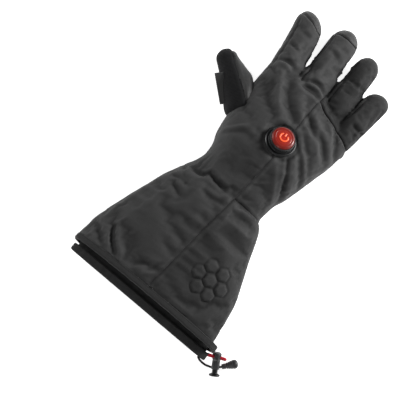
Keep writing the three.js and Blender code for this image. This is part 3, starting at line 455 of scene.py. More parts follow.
# The thumb: x, y and z of its axis, width and height, from inside the hand to its tip.
THUMB_ROWS = np.array([
    [-0.19, 0.375, 0.45, 0.94, 0.94],
    [-0.295, 0.482, 0.44, 1.06, 1.0],
    [-0.405, 0.57, 0.41, 0.98, 0.93],
    [-0.53, 0.662, 0.355, 0.84, 0.82],
    [-0.632, 0.733, 0.29, 0.69, 0.7],
    [-0.709, 0.784, 0.235, 0.58, 0.59],
])


# Angles of the rings that round off a fingertip, from its bend to nearly its end.
TIP_ANGLES = np.radians(np.linspace(8, 88, 12))
# Where a finger swells from its neck to its full width: shares of its length and of the swelling.
NECK_PLACES = np.array([0, 0.28, 0.45, 0.62, 1.0])
NECK_SHARES = np.array([0, 0.3, 0.75, 1.0, 1.0])
# The rounded end between the fingers: share of the hand's length, narrowing and flattening.
END_ROWS = ((0.945, 0.985, 0.86), (0.975, 0.96, 0.66), (0.993, 0.93, 0.36))


@dataclass
class GloveForm:
    """The soft form's sizes, in millimetres and shares, and the surfaces that follow from them."""

    cuff_length: float = 133
    cuff_width: float = 159
    cuff_height: float = 44
    wrist_width: float = 81
    wrist_height: float = 49
    hand_length: float = 115
    palm_width: float = 112
    palm_height: float = 56
    side_seam: float = 0.46
    finger_length: float = 75
    finger_width: float = 31
    finger_height: float = 27
    root_height: float = 27
    tip_height: float = 13
    finger_start: float = 0.72
    slit_root: float = 104
    thumb_width: float = 37
    thumb_height: float = 35
    top_power: float = 2.3
    under_power: float = 3.2
    under_sink: float = 2.4

    def rows(self) -> Array:
        """All sections as real sizes: Y, width, middle, top and floor."""
        c, h = CUFF_ROWS, HAND_ROWS
        cuff = [
            -c[:, 0] * self.cuff_length,
            lerp(self.wrist_width, self.cuff_width, c[:, 1]),
            c[:, 2] * self.cuff_width,
            lerp(self.wrist_height, self.cuff_height, c[:, 3]),
            0 * c[:, 0],
        ]
        hand = [
            h[:, 0] * self.hand_length,
            lerp(self.wrist_width, self.palm_width, h[:, 1]),
            h[:, 2] * self.palm_width,
            h[:, 3] * self.palm_height,
            h[:, 4] * self.palm_height,
        ]
        return np.vstack([np.stack(cuff, -1), np.stack(hand, -1)])

    def section(self, y: Array, inset: float = 0) -> Section:
        """The section at Y, drawn in by inset."""
        rows = self.rows()
        wide, middle, top, floor = (read_table(rows[:, 0], rows[:, k], y) for k in range(1, 5))
        floor = np.maximum(0, floor)
        return Section(
            middle, wide / 2 - inset, top - inset, floor + inset, lerp(floor, top, self.side_seam)
        )

    def slant(self, x: Array, y: Array) -> Array:
        """How far a point lies back: the slits step down and the hem runs slanting."""
        reach = smoothstep(y, 0.6 * self.hand_length, self.hand_length)
        hem = np.clip(-y / self.cuff_length, 0, 1.5) ** 2
        return reach * 0.5 * np.maximum(0, x - 0.16 * self.palm_width) + hem * 0.03 * x

    def loop(
        self, section: Section, y: float, count: int, narrow: float = 1, flat: float = 1
    ) -> Array:
        """One ring round a section: a superellipse, squarer below and cut off at the floor."""
        c, s = np.cos(ring_angles(count)), np.sin(ring_angles(count))
        power = np.where(s > 0, self.top_power, self.under_power)
        shrink = (np.abs(c) ** power + np.abs(s) ** power) ** (-1 / power)
        x = section.middle + section.half * narrow * c * shrink
        drop = section.seam - section.floor + self.under_sink
        z = section.seam + np.where(s > 0, section.top - section.seam, drop) * s * shrink
        mid = (section.top + section.floor) / 2
        z = np.maximum(section.floor, mid + (z - mid) * flat)
        return np.stack([x, y - self.slant(x, y), z], -1)

    def back_z(self, x: float, y: float) -> float:
        """Height of the plain back at a plan point."""
        s = self.section(y)
        side = min(1.0, abs(x - s.middle) / s.half)
        return float(s.seam + (s.top - s.seam) * (1 - side**self.top_power) ** (1 / self.top_power))

    def body_grid(self, rows: int, columns: int) -> Array:
        """The hand and cuff: rings from past the hem to the rounded end between the fingers."""
        end = HAND_ROWS[-1, 0] * self.hand_length
        rings = [
            self.loop(self.section(max(y, -self.cuff_length)), y, columns)
            for y in np.linspace(-self.cuff_length - 4, end, rows)
        ]
        for at, narrow, flat in END_ROWS:
            y = at * self.hand_length
            rings.append(self.loop(self.section(y), y, columns, narrow, flat))
        return np.array(rings)

    def finger_z(self, y: Array) -> Array:
        """Height of every finger's axis at Y."""
        share = np.clip((np.asarray(y, float) - self.hand_length) / self.finger_length, 0, 1)
        return lerp(self.root_height, self.tip_height, share**0.85)

    def finger_x(self, finger: Finger, y: Array) -> Array:
        """X of a finger's axis at Y."""
        start = self.finger_start * self.hand_length
        share = np.clip((y - start) / (self.finger_tip(finger) - start), 0, 1)
        return self.palm_width * lerp(finger.root, finger.tip, share**finger.bow)

    def finger_tip(self, finger: Finger) -> float:
        """Y of a finger's end."""
        return self.hand_length + finger.reach * self.finger_length

    def touch(self, k: int, y: Array) -> Array:
        """How far fingers k and k + 1 press sideways into the slit between them at Y."""
        if not 0 <= k < len(SLITS):
            return 0 * y
        near, far, close, back = SLITS[k]
        reach = np.interp(y, [self.slit_root, close], [near, far])
        parted = smoothstep(y, close - 4, close + 6)
        return lerp(reach, -back, parted) * smoothstep(y, self.slit_root - 16, self.slit_root - 4)

    def finger_grid(self, finger: Finger, columns: int) -> Array:
        """One finger: slightly squared rings along its axis, then a rounded tip."""
        start, tip = self.finger_start * self.hand_length, self.finger_tip(finger)
        wide = self.finger_width * finger.width
        bend = tip - wide * finger.round
        y = np.concatenate([np.linspace(start, bend, 40), np.full(len(TIP_ANGLES), bend)])
        angle = np.concatenate([np.zeros(40), TIP_ANGLES])
        y = y + (tip - bend) * np.sin(angle)
        shrink = np.cos(angle)
        share = np.where(angle > 0, 1, (y - start) / (tip - start))
        grown = read_table(NECK_PLACES, NECK_SHARES, share)
        half_x = wide * lerp(finger.neck, 1, grown) / 2 * shrink
        half_z = self.finger_height * finger.width**0.5 * lerp(1, 0.86, share) / 2
        turn = ring_angles(columns, 0.5)
        k = FINGERS.index(finger)
        press = np.where(np.cos(turn) > 0, self.touch(k, y)[:, None], self.touch(k - 1, y)[:, None])
        x = self.finger_x(finger, y)[:, None] + (half_x[:, None] + press) * np.cos(turn)
        z = self.finger_z(y) - (1 - shrink) * 0.12 * half_z
        z = z[:, None] + (half_z * shrink)[:, None] * np.sin(turn)
        return np.stack([x, np.repeat(y[:, None], columns, 1), np.maximum(z, 0.2)], -1)

    def thumb_axis(self) -> Tuple[Array, Array, Array]:
        """The thumb's centres, its direction and the direction across it."""
        size = np.array([self.palm_width, self.hand_length, self.palm_height])
        centres = THUMB_ROWS[:, :3] * size
        way = centres[-1] - centres[1]
        way /= np.linalg.norm(way)
        across = np.array([way[1], -way[0], 0]) / np.hypot(way[0], way[1])
        return centres, way, across

    def thumb_grid(self, columns: int) -> Array:
        """The thumb: ellipses across its axis, then a rounded tip."""
        centres, way, across = self.thumb_axis()
        steps = np.linspace(0, 5, 46)
        rows = np.arange(6.0)
        centre = np.stack([read_table(rows, centres[:, k], steps) for k in range(3)], -1)
        half_x = read_table(rows, THUMB_ROWS[:, 3], steps) * self.thumb_width / 2
        half_z = read_table(rows, THUMB_ROWS[:, 4], steps) * self.thumb_height / 2
        reach = half_x[-1] * 1.08
        centre = np.vstack([centre, centres[-1] + reach * np.sin(TIP_ANGLES)[:, None] * way])
        half_x = np.concatenate([half_x, half_x[-1] * np.cos(TIP_ANGLES)])
        half_z = np.concatenate([half_z, half_z[-1] * np.cos(TIP_ANGLES)])
        turn = ring_angles(columns, 0.5)
        grid = centre[:, None] + half_x[:, None, None] * (np.cos(turn)[:, None] * across)
        grid[..., 2] += half_z[:, None] * np.sin(turn)
        grid[..., 2] = np.maximum(grid[..., 2], 0.2)
        return grid

    def outside_body(self, points: Array) -> Array:
        """How far points lie outside the hand's section, roughly in millimetres."""
        y = points[:, 1] + self.slant(points[:, 0], points[:, 1])
        s = self.section(y)
        c = np.abs(points[:, 0] - s.middle) / s.half
        up = points[:, 2] > s.seam
        tall = np.where(up, s.top - s.seam, s.seam - s.floor + self.under_sink)
        v = np.abs(points[:, 2] - s.seam) / tall
        power = np.where(up, self.top_power, self.under_power)
        level = (c**power + v**power) ** (1 / power)
        return (level - 1) * np.minimum(s.half, tall * 1.6)

    def side_line(self, y: Array) -> Array:
        """Height of the seam between the back and the palm side."""
        share = smoothstep(y, 0.7 * self.hand_length, self.hand_length)
        return lerp(self.section(y).seam, self.finger_z(y), share)

    def plan(self, knots: Rows) -> Array:
        """A line of shares as millimetres: cuff sizes behind the wrist, hand sizes before it."""
        k = np.asarray(knots, float)
        behind = k[:, 1] < 0
        x = k[:, 0] * np.where(behind, self.cuff_width, self.palm_width)
        return np.stack([x, k[:, 1] * np.where(behind, self.cuff_length, self.hand_length)], -1)


FORM = GloveForm()
LONG_SEAM = FORM.plan(
    [(-0.045, -1.25), (-0.038, -0.98), (0.006, -0.5), (0.05, -0.08), (0.098, 0.2)]
    + [(0.107, 0.6), (0.118, 0.85), (0.144, 1.0), (0.156, 1.2), (0.156, 1.8)]
)
KNUCKLE_SEAM = FORM.plan(
    [(0.05, 0.94), (0.152, 0.89), (0.22, 0.85), (0.36, 0.815), (0.54, 0.745), (0.9, 0.68)]
)
PALM_SEAM = FORM.plan(
    [(-0.9, 0.86), (-0.42, 0.845), (-0.18, 0.82), (0, 0.81), (0.27, 0.765), (0.9, 0.55)]
)
WRIST_Y = -0.16 * FORM.cuff_length
HEEL_Y = -0.07 * FORM.cuff_length
WRIST_LINE, HEEL_LINE = (np.array([[-100, y], [100, y]]) for y in (WRIST_Y, HEEL_Y))


def across_long(p: Array) -> Array:
    """X past the long seam; negative on the thumb's side."""
    return p[:, 0] - np.interp(p[:, 1], LONG_SEAM[:, 1], LONG_SEAM[:, 0])


def seam_y(seam: Array, x: Array) -> Array:
    """Y of a cross seam at X."""
    return np.interp(x, seam[:, 0], seam[:, 1])


def past_knuckles(p: Array) -> Array:
    """Y past the knuckle seam."""
    return p[:, 1] - seam_y(KNUCKLE_SEAM, p[:, 0])


def past_palm_seam(p: Array) -> Array:
    """Y past the palm's cross seam."""
    return p[:, 1] - seam_y(PALM_SEAM, p[:, 0])


def cap_line(finger: Finger, lean: float, depth: float) -> Callable[[Array], Array]:
    """How far points lie past the slanting edge of a finger's tip cap."""
    tip = FORM.finger_tip(finger)
    x = float(FORM.finger_x(finger, np.array(tip)))
    return lambda p: p[:, 1] - (tip - depth - lean * (p[:, 0] - x))


CAPS = (cap_line(FINGERS[0], 0.32, 12), cap_line(FINGERS[1], 0, 14))
INDEX_EDGE = -16  # X between the index and middle fingertips
MIDDLE_EDGE = 16  # X between the middle and ring fingertips
BACK_Z = 20  # height over which the skin surely belongs to the back
FOURCHETTE_WIDTH = 11.5
FOURCHETTE_START = 0.89 * FORM.hand_length


def fourchette_level(p: Array, k: int) -> Array:
    """Half height left over the strip between two fingers: positive on the strip.

    Args:
        p: Points.
        k: Which slit, 0 between the index and middle fingers.

    Returns:
        Millimetres inside the strip's edge, or -FAR outside its plan.
    """
    y = p[:, 1]
    one, two = FINGERS[k], FINGERS[k + 1]
    reach = [FORM.finger_width * f.width / 2 for f in (one, two)]
    x1, x2 = FORM.finger_x(one, y), FORM.finger_x(two, y)
    slit = (x1 + reach[0] + x2 - reach[1]) / 2
    level = np.full(len(p), -FAR)
    near = (p[:, 0] >= x1) & (p[:, 0] <= slit)
    far = (p[:, 0] > slit) & (p[:, 0] <= x2)
    for finger, inside in ((one, near), (two, far)):
        tip = FORM.finger_tip(finger)
        bend = FORM.finger_width * finger.width * finger.round
        marks = [FOURCHETTE_START, FORM.hand_length, tip - 1.6 * bend, tip - 0.7 * bend]
        half = np.interp(y, marks, [0.8, 1, 0.9, 0]) * FOURCHETTE_WIDTH / 2
        away = np.minimum(half - np.abs(p[:, 2] - FORM.finger_z(y)), y - FOURCHETTE_START)
        away = np.where(y > marks[-1], -FAR, away)
        level = np.where(inside, away, level)
    return level


class Panel(IntEnum):
    """The panels that the skin is cut into, named as the solids are, in capitals."""

    BACK_MAIN_PANEL = 0
    RING_LITTLE_BACK = 1
    BACK_SIDE_PANEL = 2
    CUFF_SIDE_PANEL = 3
    PALM = 4
    PALM_HEEL = 5
    CUFF_UNDER_PANEL = 6
    INDEX_TIP_CAP = 7
    MIDDLE_TIP_CAP = 8
    FOURCHETTE_INDEX_MIDDLE = 9
    FOURCHETTE_MIDDLE_RING = 10
    FOURCHETTE_RING_LITTLE = 11


def panel_of(p: Array) -> Array:
    """The panel that each point belongs to, as a value of Panel."""
    x, y, z = p.T
    side = np.where(past_knuckles(p) > 0, Panel.RING_LITTLE_BACK, Panel.BACK_SIDE_PANEL)
    label = np.where(across_long(p) < 0, Panel.BACK_MAIN_PANEL, side)
    main = label == Panel.BACK_MAIN_PANEL
    label = np.where((label == Panel.BACK_SIDE_PANEL) & (y < WRIST_Y), Panel.CUFF_SIDE_PANEL, label)
    label = np.where(main & (x < INDEX_EDGE) & (CAPS[0](p) > 0), Panel.INDEX_TIP_CAP, label)
    label = np.where(main & (x > INDEX_EDGE) & (CAPS[1](p) > 0), Panel.MIDDLE_TIP_CAP, label)
    under = np.where(y > HEEL_Y, Panel.PALM_HEEL, Panel.CUFF_UNDER_PANEL)
    under = np.where(past_palm_seam(p) > 0, Panel.PALM, under)
    label = np.where(z < FORM.side_line(y), under, label)
    for k in range(len(SLITS)):
        label = np.where(fourchette_level(p, k) > 0, Panel.FOURCHETTE_INDEX_MIDDLE + k, label)
    return label


# ---- folds, seams and relief ----
# Folds of the back as x and y of start, middle and end, half width and lift, valleys negative.
BACK_FOLDS = (
    # index knuckle
    (-40, 114, -31, 117, -22, 114.5, 2.4, -2.0),
    (-39, 110, -31, 111.5, -23, 110, 2.6, 1.3),
    (-43, 105, -37, 102, -31, 100, 2.2, -1.6),
    (-35, 123, -31, 125, -27, 123, 7.0, 1.5),
    (-41, 137, -36, 134, -31, 133, 2.0, -0.9),
    (-44, 152, -36, 153, -28, 151, 2.4, -0.6),
    # middle knuckle
    (-9, 112.5, 3, 118, 14, 114, 2.2, -2.2),
    (-9, 109.5, 3, 113, 14, 110.5, 2.4, 1.6),
    (-9, 106, 3, 107.3, 15, 106.5, 3.0, -1.5),
    (-4, 123, 3, 125, 9, 123, 7.0, 1.5),
    (-9, 155, -3, 156, 4, 154, 2.2, -0.8),
    (-8, 160, -2, 161, 4, 160, 2.6, 0.5),
    # ring and little knuckles
    (24, 144.5, 31, 143, 39, 144, 2.2, -1.4),
    (19, 110.5, 25, 107.5, 31, 106, 2.0, -1.1),
    (19, 115, 24, 113, 29, 114.5, 1.9, -0.9),
    (25, 131, 28, 130, 32, 131.5, 1.9, -0.8),
    (24, 121, 31, 123, 38, 121, 6.0, 0.9),
    (53, 107, 60, 106, 67, 107.5, 2.1, -1.8),
    (54, 101.5, 60, 101, 65, 102, 2.0, -0.8),
    (50, 118, 54, 116, 58, 117, 2.0, -0.7),
    (54, 126, 59, 128, 64, 126, 5.5, 0.8),
    # the long slanting valleys between the knuckles and the button
    (-20, 111, -14, 92, -3, 79, 5.2, -2.8),
    (-6, 82, 1, 75, 9, 70, 4.2, -2.0),
    (-32, 106, -24, 88, -13, 75, 5.0, 1.5),
    (-18, 78, -9, 68, -1, 60, 3.6, 1.2),
    (-1, 98, 6, 86, 12, 72, 4.4, 1.6),
    (-34, 98, -30, 92, -24, 84, 3.0, -0.7),
    # pleats on the little finger's side
    (12, 84.5, 22, 78, 31, 71, 2.9, -2.0),
    (31, 79, 42, 70, 52, 60, 2.9, -2.0),
    (44, 90, 52, 78, 61, 69, 2.8, -1.7),
    (18, 88, 30, 82, 41, 74, 3.2, 1.1),
    (24, 72, 36, 65, 48, 54, 3.0, 1.0),
    (36, 90, 46, 82, 56, 72, 3.0, 0.9),
    (22, 64, 35, 54, 50, 38, 2.8, -1.4),
    (28, 62, 40, 50, 50, 40, 3.0, 0.8),
    (25, 51, 37, 40, 50, 25, 2.6, -1.2),
    (22, 38.5, 32, 23, 42, 5, 1.7, -1.5),
    (27, 42, 38, 26, 47, 8, 3.0, 1.0),
    (14, 30, 26, 14, 38, -3, 2.4, 0.7),
    # thumb side of the hand
    (-40, 26, -31, 33, -24, 41, 1.8, 0.9),
    (-39, 22, -28, 31, -21, 37, 2.2, -0.8),
    (-31, 27, -22, 32, -10, 30, 3.0, -0.7),
    (-41, 60, -34, 52, -26, 50, 4.0, -0.6),
    # wrist
    (-39, -21, -33, -21.5, -27, -19, 2.4, -1.7),
    (-23, -17, -12, -18.5, -2, -21, 2.2, -1.9),
    (-21, -12, -12, -13, -3, -15, 3.0, 0.8),
    (3, -21, 15, -22.5, 29, -21, 2.4, -1.1),
    (-47, -22, -44, -30, -38, -33, 2.2, -0.8),
    (-51, -37, -43, -36.5, -35, -38, 2.4, -1.3),
    (-48, -41, -41, -46, -33, -49.5, 2.9, -1.4),
    (-19, -34, -9, -34.5, 1, -31, 2.4, -1.5),
    (-30, -27, -20, -26, -12, -27, 2.6, -0.7),
    # cuff
    (10, -27, 9, -45, 6, -63, 5.5, 1.9),
    (18, -37, 25, -32, 35, -30, 4.6, -2.4),
    (19, -51, 30, -55, 42, -50, 5.5, -1.1),
    (26, -43, 35, -41, 43, -38, 3.4, 0.9),
    (-18, -55, -8, -53, -1, -55, 3.0, -0.9),
    (-20, -66, -9, -65, -2, -62, 3.0, -0.8),
    (-19, -80, -10, -81, -3, -85, 2.8, -1.0),
    (-20, -92, -11, -96, -5, -95, 3.0, -0.8),
    (-44, -66, -34, -69, -27, -67, 4.5, -0.6),
    (-65, -107, -58, -119, -46, -129, 2.3, -2.2),
    (-60, -108, -52, -119, -42, -126, 3.2, 1.0),
    (-78, -115, -70, -122, -61, -129, 2.7, -1.2),
    (-45, -114, -41, -121, -38, -129, 2.6, -1.1),
    (-31, -125, -21, -119, -10, -117, 3.4, -2.0),
    (-19, -129, -14, -124, -9, -120, 2.0, 0.8),
    (8, -120, 22, -124, 36, -121, 4.0, -0.5),
    (48, -112, 58, -104, 66, -92, 4.5, -0.7),
)
# Folds of the palm side, in the same columns.
UNDER_FOLDS = (
    (-38, 76, -20, 62, 18, 66, 3.0, -1.5),
    (-30, 84, 5, 74, 44, 84, 3.0, -1.3),
    (-12, 20, -22, 44, -34, 56, 3.2, -1.4),
    (24, 12, 30, 34, 34, 54, 3.0, -1.0),
    (-42, 123, -33, 120, -24, 123, 2.4, -1.8),
    (-10, 124, 2, 121, 13, 124, 2.4, -1.8),
    (20, 122, 31, 119, 41, 122, 2.4, -1.7),
    (48, 117, 57, 115, 66, 117, 2.4, -1.6),
    (-45, 146, -37, 144, -28, 146, 2.4, -1.3),
    (-11, 150, 1, 148, 12, 150, 2.4, -1.3),
    (22, 145, 32, 143, 42, 145, 2.4, -1.2),
    (-34, -16, -8, -20, 26, -17, 2.8, -1.6),
    (-40, -34, -12, -37, 20, -33, 3.0, -1.3),
    (-60, -106, -56, -116, -50, -128, 3.0, -1.7),
    (-32, -104, -28, -114, -26, -128, 3.0, -1.6),
    (-2, -106, 0, -116, 4, -128, 3.0, -1.6),
    (28, -104, 30, -114, 35, -128, 3.0, -1.7),
)


FOLD_REACH = 3.2  # how many of its widths a fold is felt away


def fold_height(points: Array, folds: Rows) -> Array:
    """Sum of folds at points: each a bell across a bowed line, fading at its ends.

    Args:
        points: Points in millimetres, of which the plan counts.
        folds: Rows of BACK_FOLDS.

    Returns:
        Heights in millimetres. A valley has a low rim on both sides, as pushed cloth does.
    """
    total = np.zeros(len(points))
    t = np.linspace(0, 1, 9)[:, None]
    for *places, width, lift in folds:
        start, mid, stop = np.array(places, float).reshape(3, 2)
        bend = 2 * mid - (start + stop) / 2
        line = (1 - t) * ((1 - t) * start + t * bend)
        line = line + t * ((1 - t) * bend + t * stop)
        low, high = line.min(0) - FOLD_REACH * width, line.max(0) + FOLD_REACH * width
        near = np.flatnonzero(np.all((points[:, :2] > low) & (points[:, :2] < high), axis=1))
        away, share = line_distance(points[near], line)
        fade = np.clip(4 * share * (1 - share), 0, 1) ** 0.5
        rim = 0.3 * bell(away - 1.9 * width, width) if lift < 0 else 0
        total[near] += lift * (0.25 + 0.75 * fade) * (bell(away, width) - rim)
    return total


def rail_height(p: Array) -> Array:
    """Height of the sewn rail along the thumb's side of each finger, a groove and its rim."""
    total = np.zeros(len(p))
    for finger in FINGERS:
        half = FORM.finger_width * finger.width / 2
        tip = FORM.finger_tip(finger)
        along = smoothstep(p[:, 1], 106, 112) * (1 - smoothstep(p[:, 1], tip - 20, tip - 12))
        away = p[:, 0] - FORM.finger_x(finger, p[:, 1]) + half - 3.6
        near = np.abs(away) < 6
        total += near * along * (0.55 * bell(away + 1.7, 1.2) - 1.0 * bell(away, 0.85))
    return total


class Relief:
    """The raised six-sided pads on the cuff's side panel."""

    middle = np.array([0.215 * FORM.cuff_width, -0.71 * FORM.cuff_length])
    radius = 6.2
    pitch = 13.0
    height = 1.0
    cells = ((0, 0), (1, 0), (-1, 0), (0.5, 1), (-0.5, 1), (0.5, -1), (-0.5, -1))

    @classmethod
    def at(cls, points: Array) -> Array:
        """Height of the pads: a flat top inside each hexagon, with a pressed groove round it."""
        total = np.zeros(len(points))
        y = points[:, 1] + FORM.slant(points[:, 0], points[:, 1])
        for column, row in cls.cells:
            d = np.stack([points[:, 0], y], -1) - cls.middle
            d = d - np.array([column * cls.pitch, row * cls.pitch * math.sin(math.pi / 3)])
            turns = (0, math.pi / 3, -math.pi / 3)
            reach = [abs(d @ np.array([math.cos(a), math.sin(a)])) for a in turns]
            edge = np.max(reach, axis=0) - cls.radius * math.cos(math.pi / 6)
            total += cls.height * (1 - smoothstep(edge, -1.3, 0.2)) - 0.75 * bell(edge - 0.75, 0.65)
        return total


@dataclass
class ButtonSeat:
    """The push button's frame on the back: its axis leans towards the fingers."""

    x: float = 0.074 * FORM.palm_width
    y: float = 0.404 * FORM.hand_length
    tilt: float = math.radians(14)
    recess: float = 1.2
    flange: float = 15.4
    reach: float = 26
    sink: float = 0.35

    def matrix(self) -> Array:
        """3x4 frame: turned about X by the tilt, set on the back less the recess."""
        c, s = math.cos(self.tilt), math.sin(self.tilt)
        turn = np.array([[1, 0, 0], [0, c, s], [0, -s, c]])
        at = np.array([self.x, self.y, FORM.back_z(self.x, self.y) - self.recess])
        return np.hstack([turn, at[:, None]])

    def to_glove(self, local: Array) -> Array:
        """Points of the button's frame in the glove frame."""
        m = self.matrix()
        return local @ m[:, :3].T + m[:, 3]

    def press(self, points: Array) -> Array:
        """The skin pressed to lie just under the flange, with a soft rim round it."""
        m = self.matrix()
        local = (points - m[:, 3]) @ m[:, :3]
        r = np.hypot(local[:, 0], local[:, 1])
        near = (points[:, 2] > 30) & (r < self.reach)
        hold = 1 - smoothstep(r, self.flange + 0.6, self.flange + 4.0)
        target = np.where(r < self.flange + 1, -self.sink, local[:, 2])
        moved = lerp(local[:, 2], np.minimum(local[:, 2], target), hold)
        out = r - self.flange
        moved = moved - 0.5 * bell(out - 2.0, 1.5) + 0.5 * bell(out - 5.5, 2.5)
        local[:, 2] = np.where(near, moved, local[:, 2])
        return np.where(near[:, None], self.to_glove(local), points)


SEAT = ButtonSeat()


# ---- the sewn skin ----
NO_SEAM = 20.0  # distance from which a seam no longer shows
BROAD_WAVES = (Ripple((30, 24, 30), 0.32, 3), Ripple((13, 9, 16), 0.1, 5))
CREASE_PATCHES = Ripple((15, 12, 20), 1.0, 62)
CREASES = (Ripple((8, 2.8, 8), 0.3, 61), Ripple((3.2, 6, 6), 0.2, 63))
SIDE_WAVES = Ripple((24, 20, 30), 0.3, 8)
SEAM_PUCKERS = (Ripple((4.2, 4.2, 4.2), 1.0, 11), Ripple((2.4, 2.4, 2.4), 0.6, 12))
CLOTH_GRAIN = (Ripple((3.2, 2.6, 3.2), 0.05, 21), Ripple((1.9, 1.7, 1.9), 0.03, 22))


@dataclass
class Skin:
    """The hand, fingers and cuff as one cloth skin that is then cut into sewn panels."""

    voxel: float = 1.15
    sim_voxel: float = 4.4
    sim_cap: float = 2.6
    frames: int = 16
    wall: float = 2.2
    back_share: float = 0.95
    under_share: float = 0.7
    groove: float = 0.85
    groove_width: float = 0.95
    pucker: float = 0.34
    side_seam_end: float = 176
    knuckle_seam_end: float = 66
    points: Array = field(init=False)
    faces: Array = field(init=False)
    edges: Array = field(init=False)
    rest: Array = field(init=False)
    ridge: Array = field(init=False)
    seam: Array = field(init=False)
    near_seam: Array = field(init=False)
    inward: Array = field(init=False)
    tone: Array = field(init=False)
    calm: Array = field(init=False)
    label: Array = field(init=False)

    def build(self) -> None:
        """Makes the skin: union, seams, folds, simulation, seam relief."""
        grids = [FORM.body_grid(110, 130)] + [FORM.finger_grid(f, 56) for f in FINGERS]
        points, faces = voxel_skin(*stacked([capped(g) for g in grids]), self.voxel)
        self.faces, self.edges = faces, edges_of(faces)
        points = self.snapped(relaxed(points, self.edges, 6))
        self.label = panel_of(points[faces].mean(1))
        points = self.rest = self.evened(points)
        self.measure(points)
        normals = point_normals(points, faces)
        points = points + normals * self.fold_field(points, normals)[:, None]
        points = self.puffed(points)
        fine = self.seam_field(self.rest, normals)
        normals = point_normals(points, faces)
        points = SEAT.press(points + normals * fine[:, None])
        points[:, 2] = np.maximum(points[:, 2], 0.0)
        self.points = points
        # The ridge measure, near and broad: the materials paint highlight on raised cloth and shade
        # in creases and broad hollows from it.
        near, wide = (
            np.einsum("ij,ij->i", points - relaxed(points, self.edges, steps), normals)
            for steps in (14, 90)
        )
        ridge = np.clip(0.7 * (near / 0.5), -0.6, 0.6) + np.clip((wide - 0.9) / 2.2, -0.7, 0.5)
        self.ridge = relaxed(ridge, self.edges, 2)
        self.inward = -unit(relaxed(normals, self.edges, 10))

    def measure(self, points: Array) -> None:
        """Finds how far each point lies from the seams, and the strips that stay calm."""
        self.seam = self.seam_distance(points, self.shared(points))
        strip = np.max([fourchette_level(points, k) for k in range(len(SLITS))], axis=0)
        self.calm = 1 - smoothstep(strip, -2.5, 0.5)
        top = points[:, 2] > BACK_Z
        soft = bell(points[:, 1] - WRIST_Y, 3.0) * top
        soft = soft + 1.3 * bell(across_long(points), 3.0) * top * (points[:, 1] < 100)
        self.tone = relaxed(np.minimum(self.seam + soft, NO_SEAM), self.edges, 2)

    def snapped(self, points: Array) -> Array:
        """Moves points that lie within about half an edge of a seam onto it."""
        moved = points.copy()
        reach = 0.56 * self.voxel
        back = moved[:, 2] > FORM.side_line(moved[:, 1])

        def shift(level: Array, where: Array, axis: int) -> None:
            near = where & (np.abs(level) < reach)
            moved[near, axis] -= level[near]

        shift(moved[:, 2] - FORM.side_line(moved[:, 1]), moved[:, 1] < self.side_seam_end, 2)
        shift(across_long(moved), back, 0)
        right = back & (across_long(moved) > -0.1)
        shift(past_knuckles(moved), right & (moved[:, 0] < self.knuckle_seam_end), 1)
        shift(moved[:, 1] - WRIST_Y, right & (past_knuckles(moved) < 0), 1)
        shift(CAPS[0](moved), back & (moved[:, 0] < INDEX_EDGE), 1)
        middle = (moved[:, 0] > INDEX_EDGE) & (moved[:, 0] < MIDDLE_EDGE)
        shift(CAPS[1](moved), back & middle, 1)
        shift(past_palm_seam(moved), ~back, 1)
        shift(moved[:, 1] - HEEL_Y, ~back, 1)
        for k in range(len(SLITS)):
            level = fourchette_level(moved, k)
            side = np.where(moved[:, 2] > FORM.finger_z(moved[:, 1]), 1, -1)
            shift(-level * side, level > -FAR / 2, 2)
        return moved

    def shared(self, points: Array) -> Array:
        """Which points two panels share."""
        low = np.full(len(points), len(Panel))
        high = np.full(len(points), -1)
        np.minimum.at(low, self.faces.ravel(), np.repeat(self.label, 4))
        np.maximum.at(high, self.faces.ravel(), np.repeat(self.label, 4))
        return (low != high) & (points[:, 1] > -FORM.cuff_length - 2)

    def evened(self, points: Array) -> Array:
        """Takes the steps out of the lines where panels meet, then eases the quads beside them."""
        on = self.shared(points)
        along = self.edges[on[self.edges].all(1)]
        chained = on & (np.bincount(along.ravel(), minlength=len(points)) > 1)
        points = np.where(chained[:, None], relaxed(points, along, 10), points)
        return np.where(on[:, None], points, relaxed(points, self.edges, 3))

    def seam_distance(self, points: Array, on: Array) -> Array:
        """Distance from each point to the nearest point on a seam.

        Each pass hands every point's nearest seam point on to its neighbours.
        """
        near = np.where(on, np.arange(len(points)), -1)
        away = np.where(on, 0.0, FAR)
        both = np.vstack([self.edges, self.edges[:, ::-1]])
        for _ in range(16):
            from_near = near[both[:, 1]]
            step = np.linalg.norm(points[both[:, 0]] - points[from_near], axis=1)
            step = np.where(from_near < 0, FAR, step)
            order = np.argsort(-step, kind="stable")
            best = np.full(len(points), FAR)
            who = np.full(len(points), -1)
            best[both[order, 0]] = step[order]
            who[both[order, 0]] = from_near[order]
            closer = best < away
            away = np.where(closer, best, away)
            near = np.where(closer, who, near)
        self.near_seam = np.where(near < 0, np.arange(len(points)), near)
        return away

    def fold_field(self, p: Array, normals: Array) -> Array:
        """Height of the folds over the plain form, in millimetres along the normals."""
        up = smoothstep(normals[:, 2], 0.05, 0.5)
        down = smoothstep(-normals[:, 2], 0.05, 0.5)
        height = up * self.back_share * fold_height(p, BACK_FOLDS)
        height = height + down * self.under_share * fold_height(p, UNDER_FOLDS)
        cuff = smoothstep(-p[:, 1], 10, 60)
        broad = BROAD_WAVES[0].at(p) + BROAD_WAVES[1].at(p)
        height += broad * lerp(0.55, 1.15, cuff) * smoothstep(self.seam, 0.5, 7)
        patches = smoothstep(CREASE_PATCHES.at(p), -0.15, 0.45)
        height += up * patches * lerp(0.5, 0.15, cuff) * (CREASES[0].at(p) + CREASES[1].at(p))
        height += smoothstep(normals[:, 2], 0.1, 0.4) * rail_height(p)
        height += SIDE_WAVES.at(p, 1 - np.maximum(up, down))
        return height * self.calm

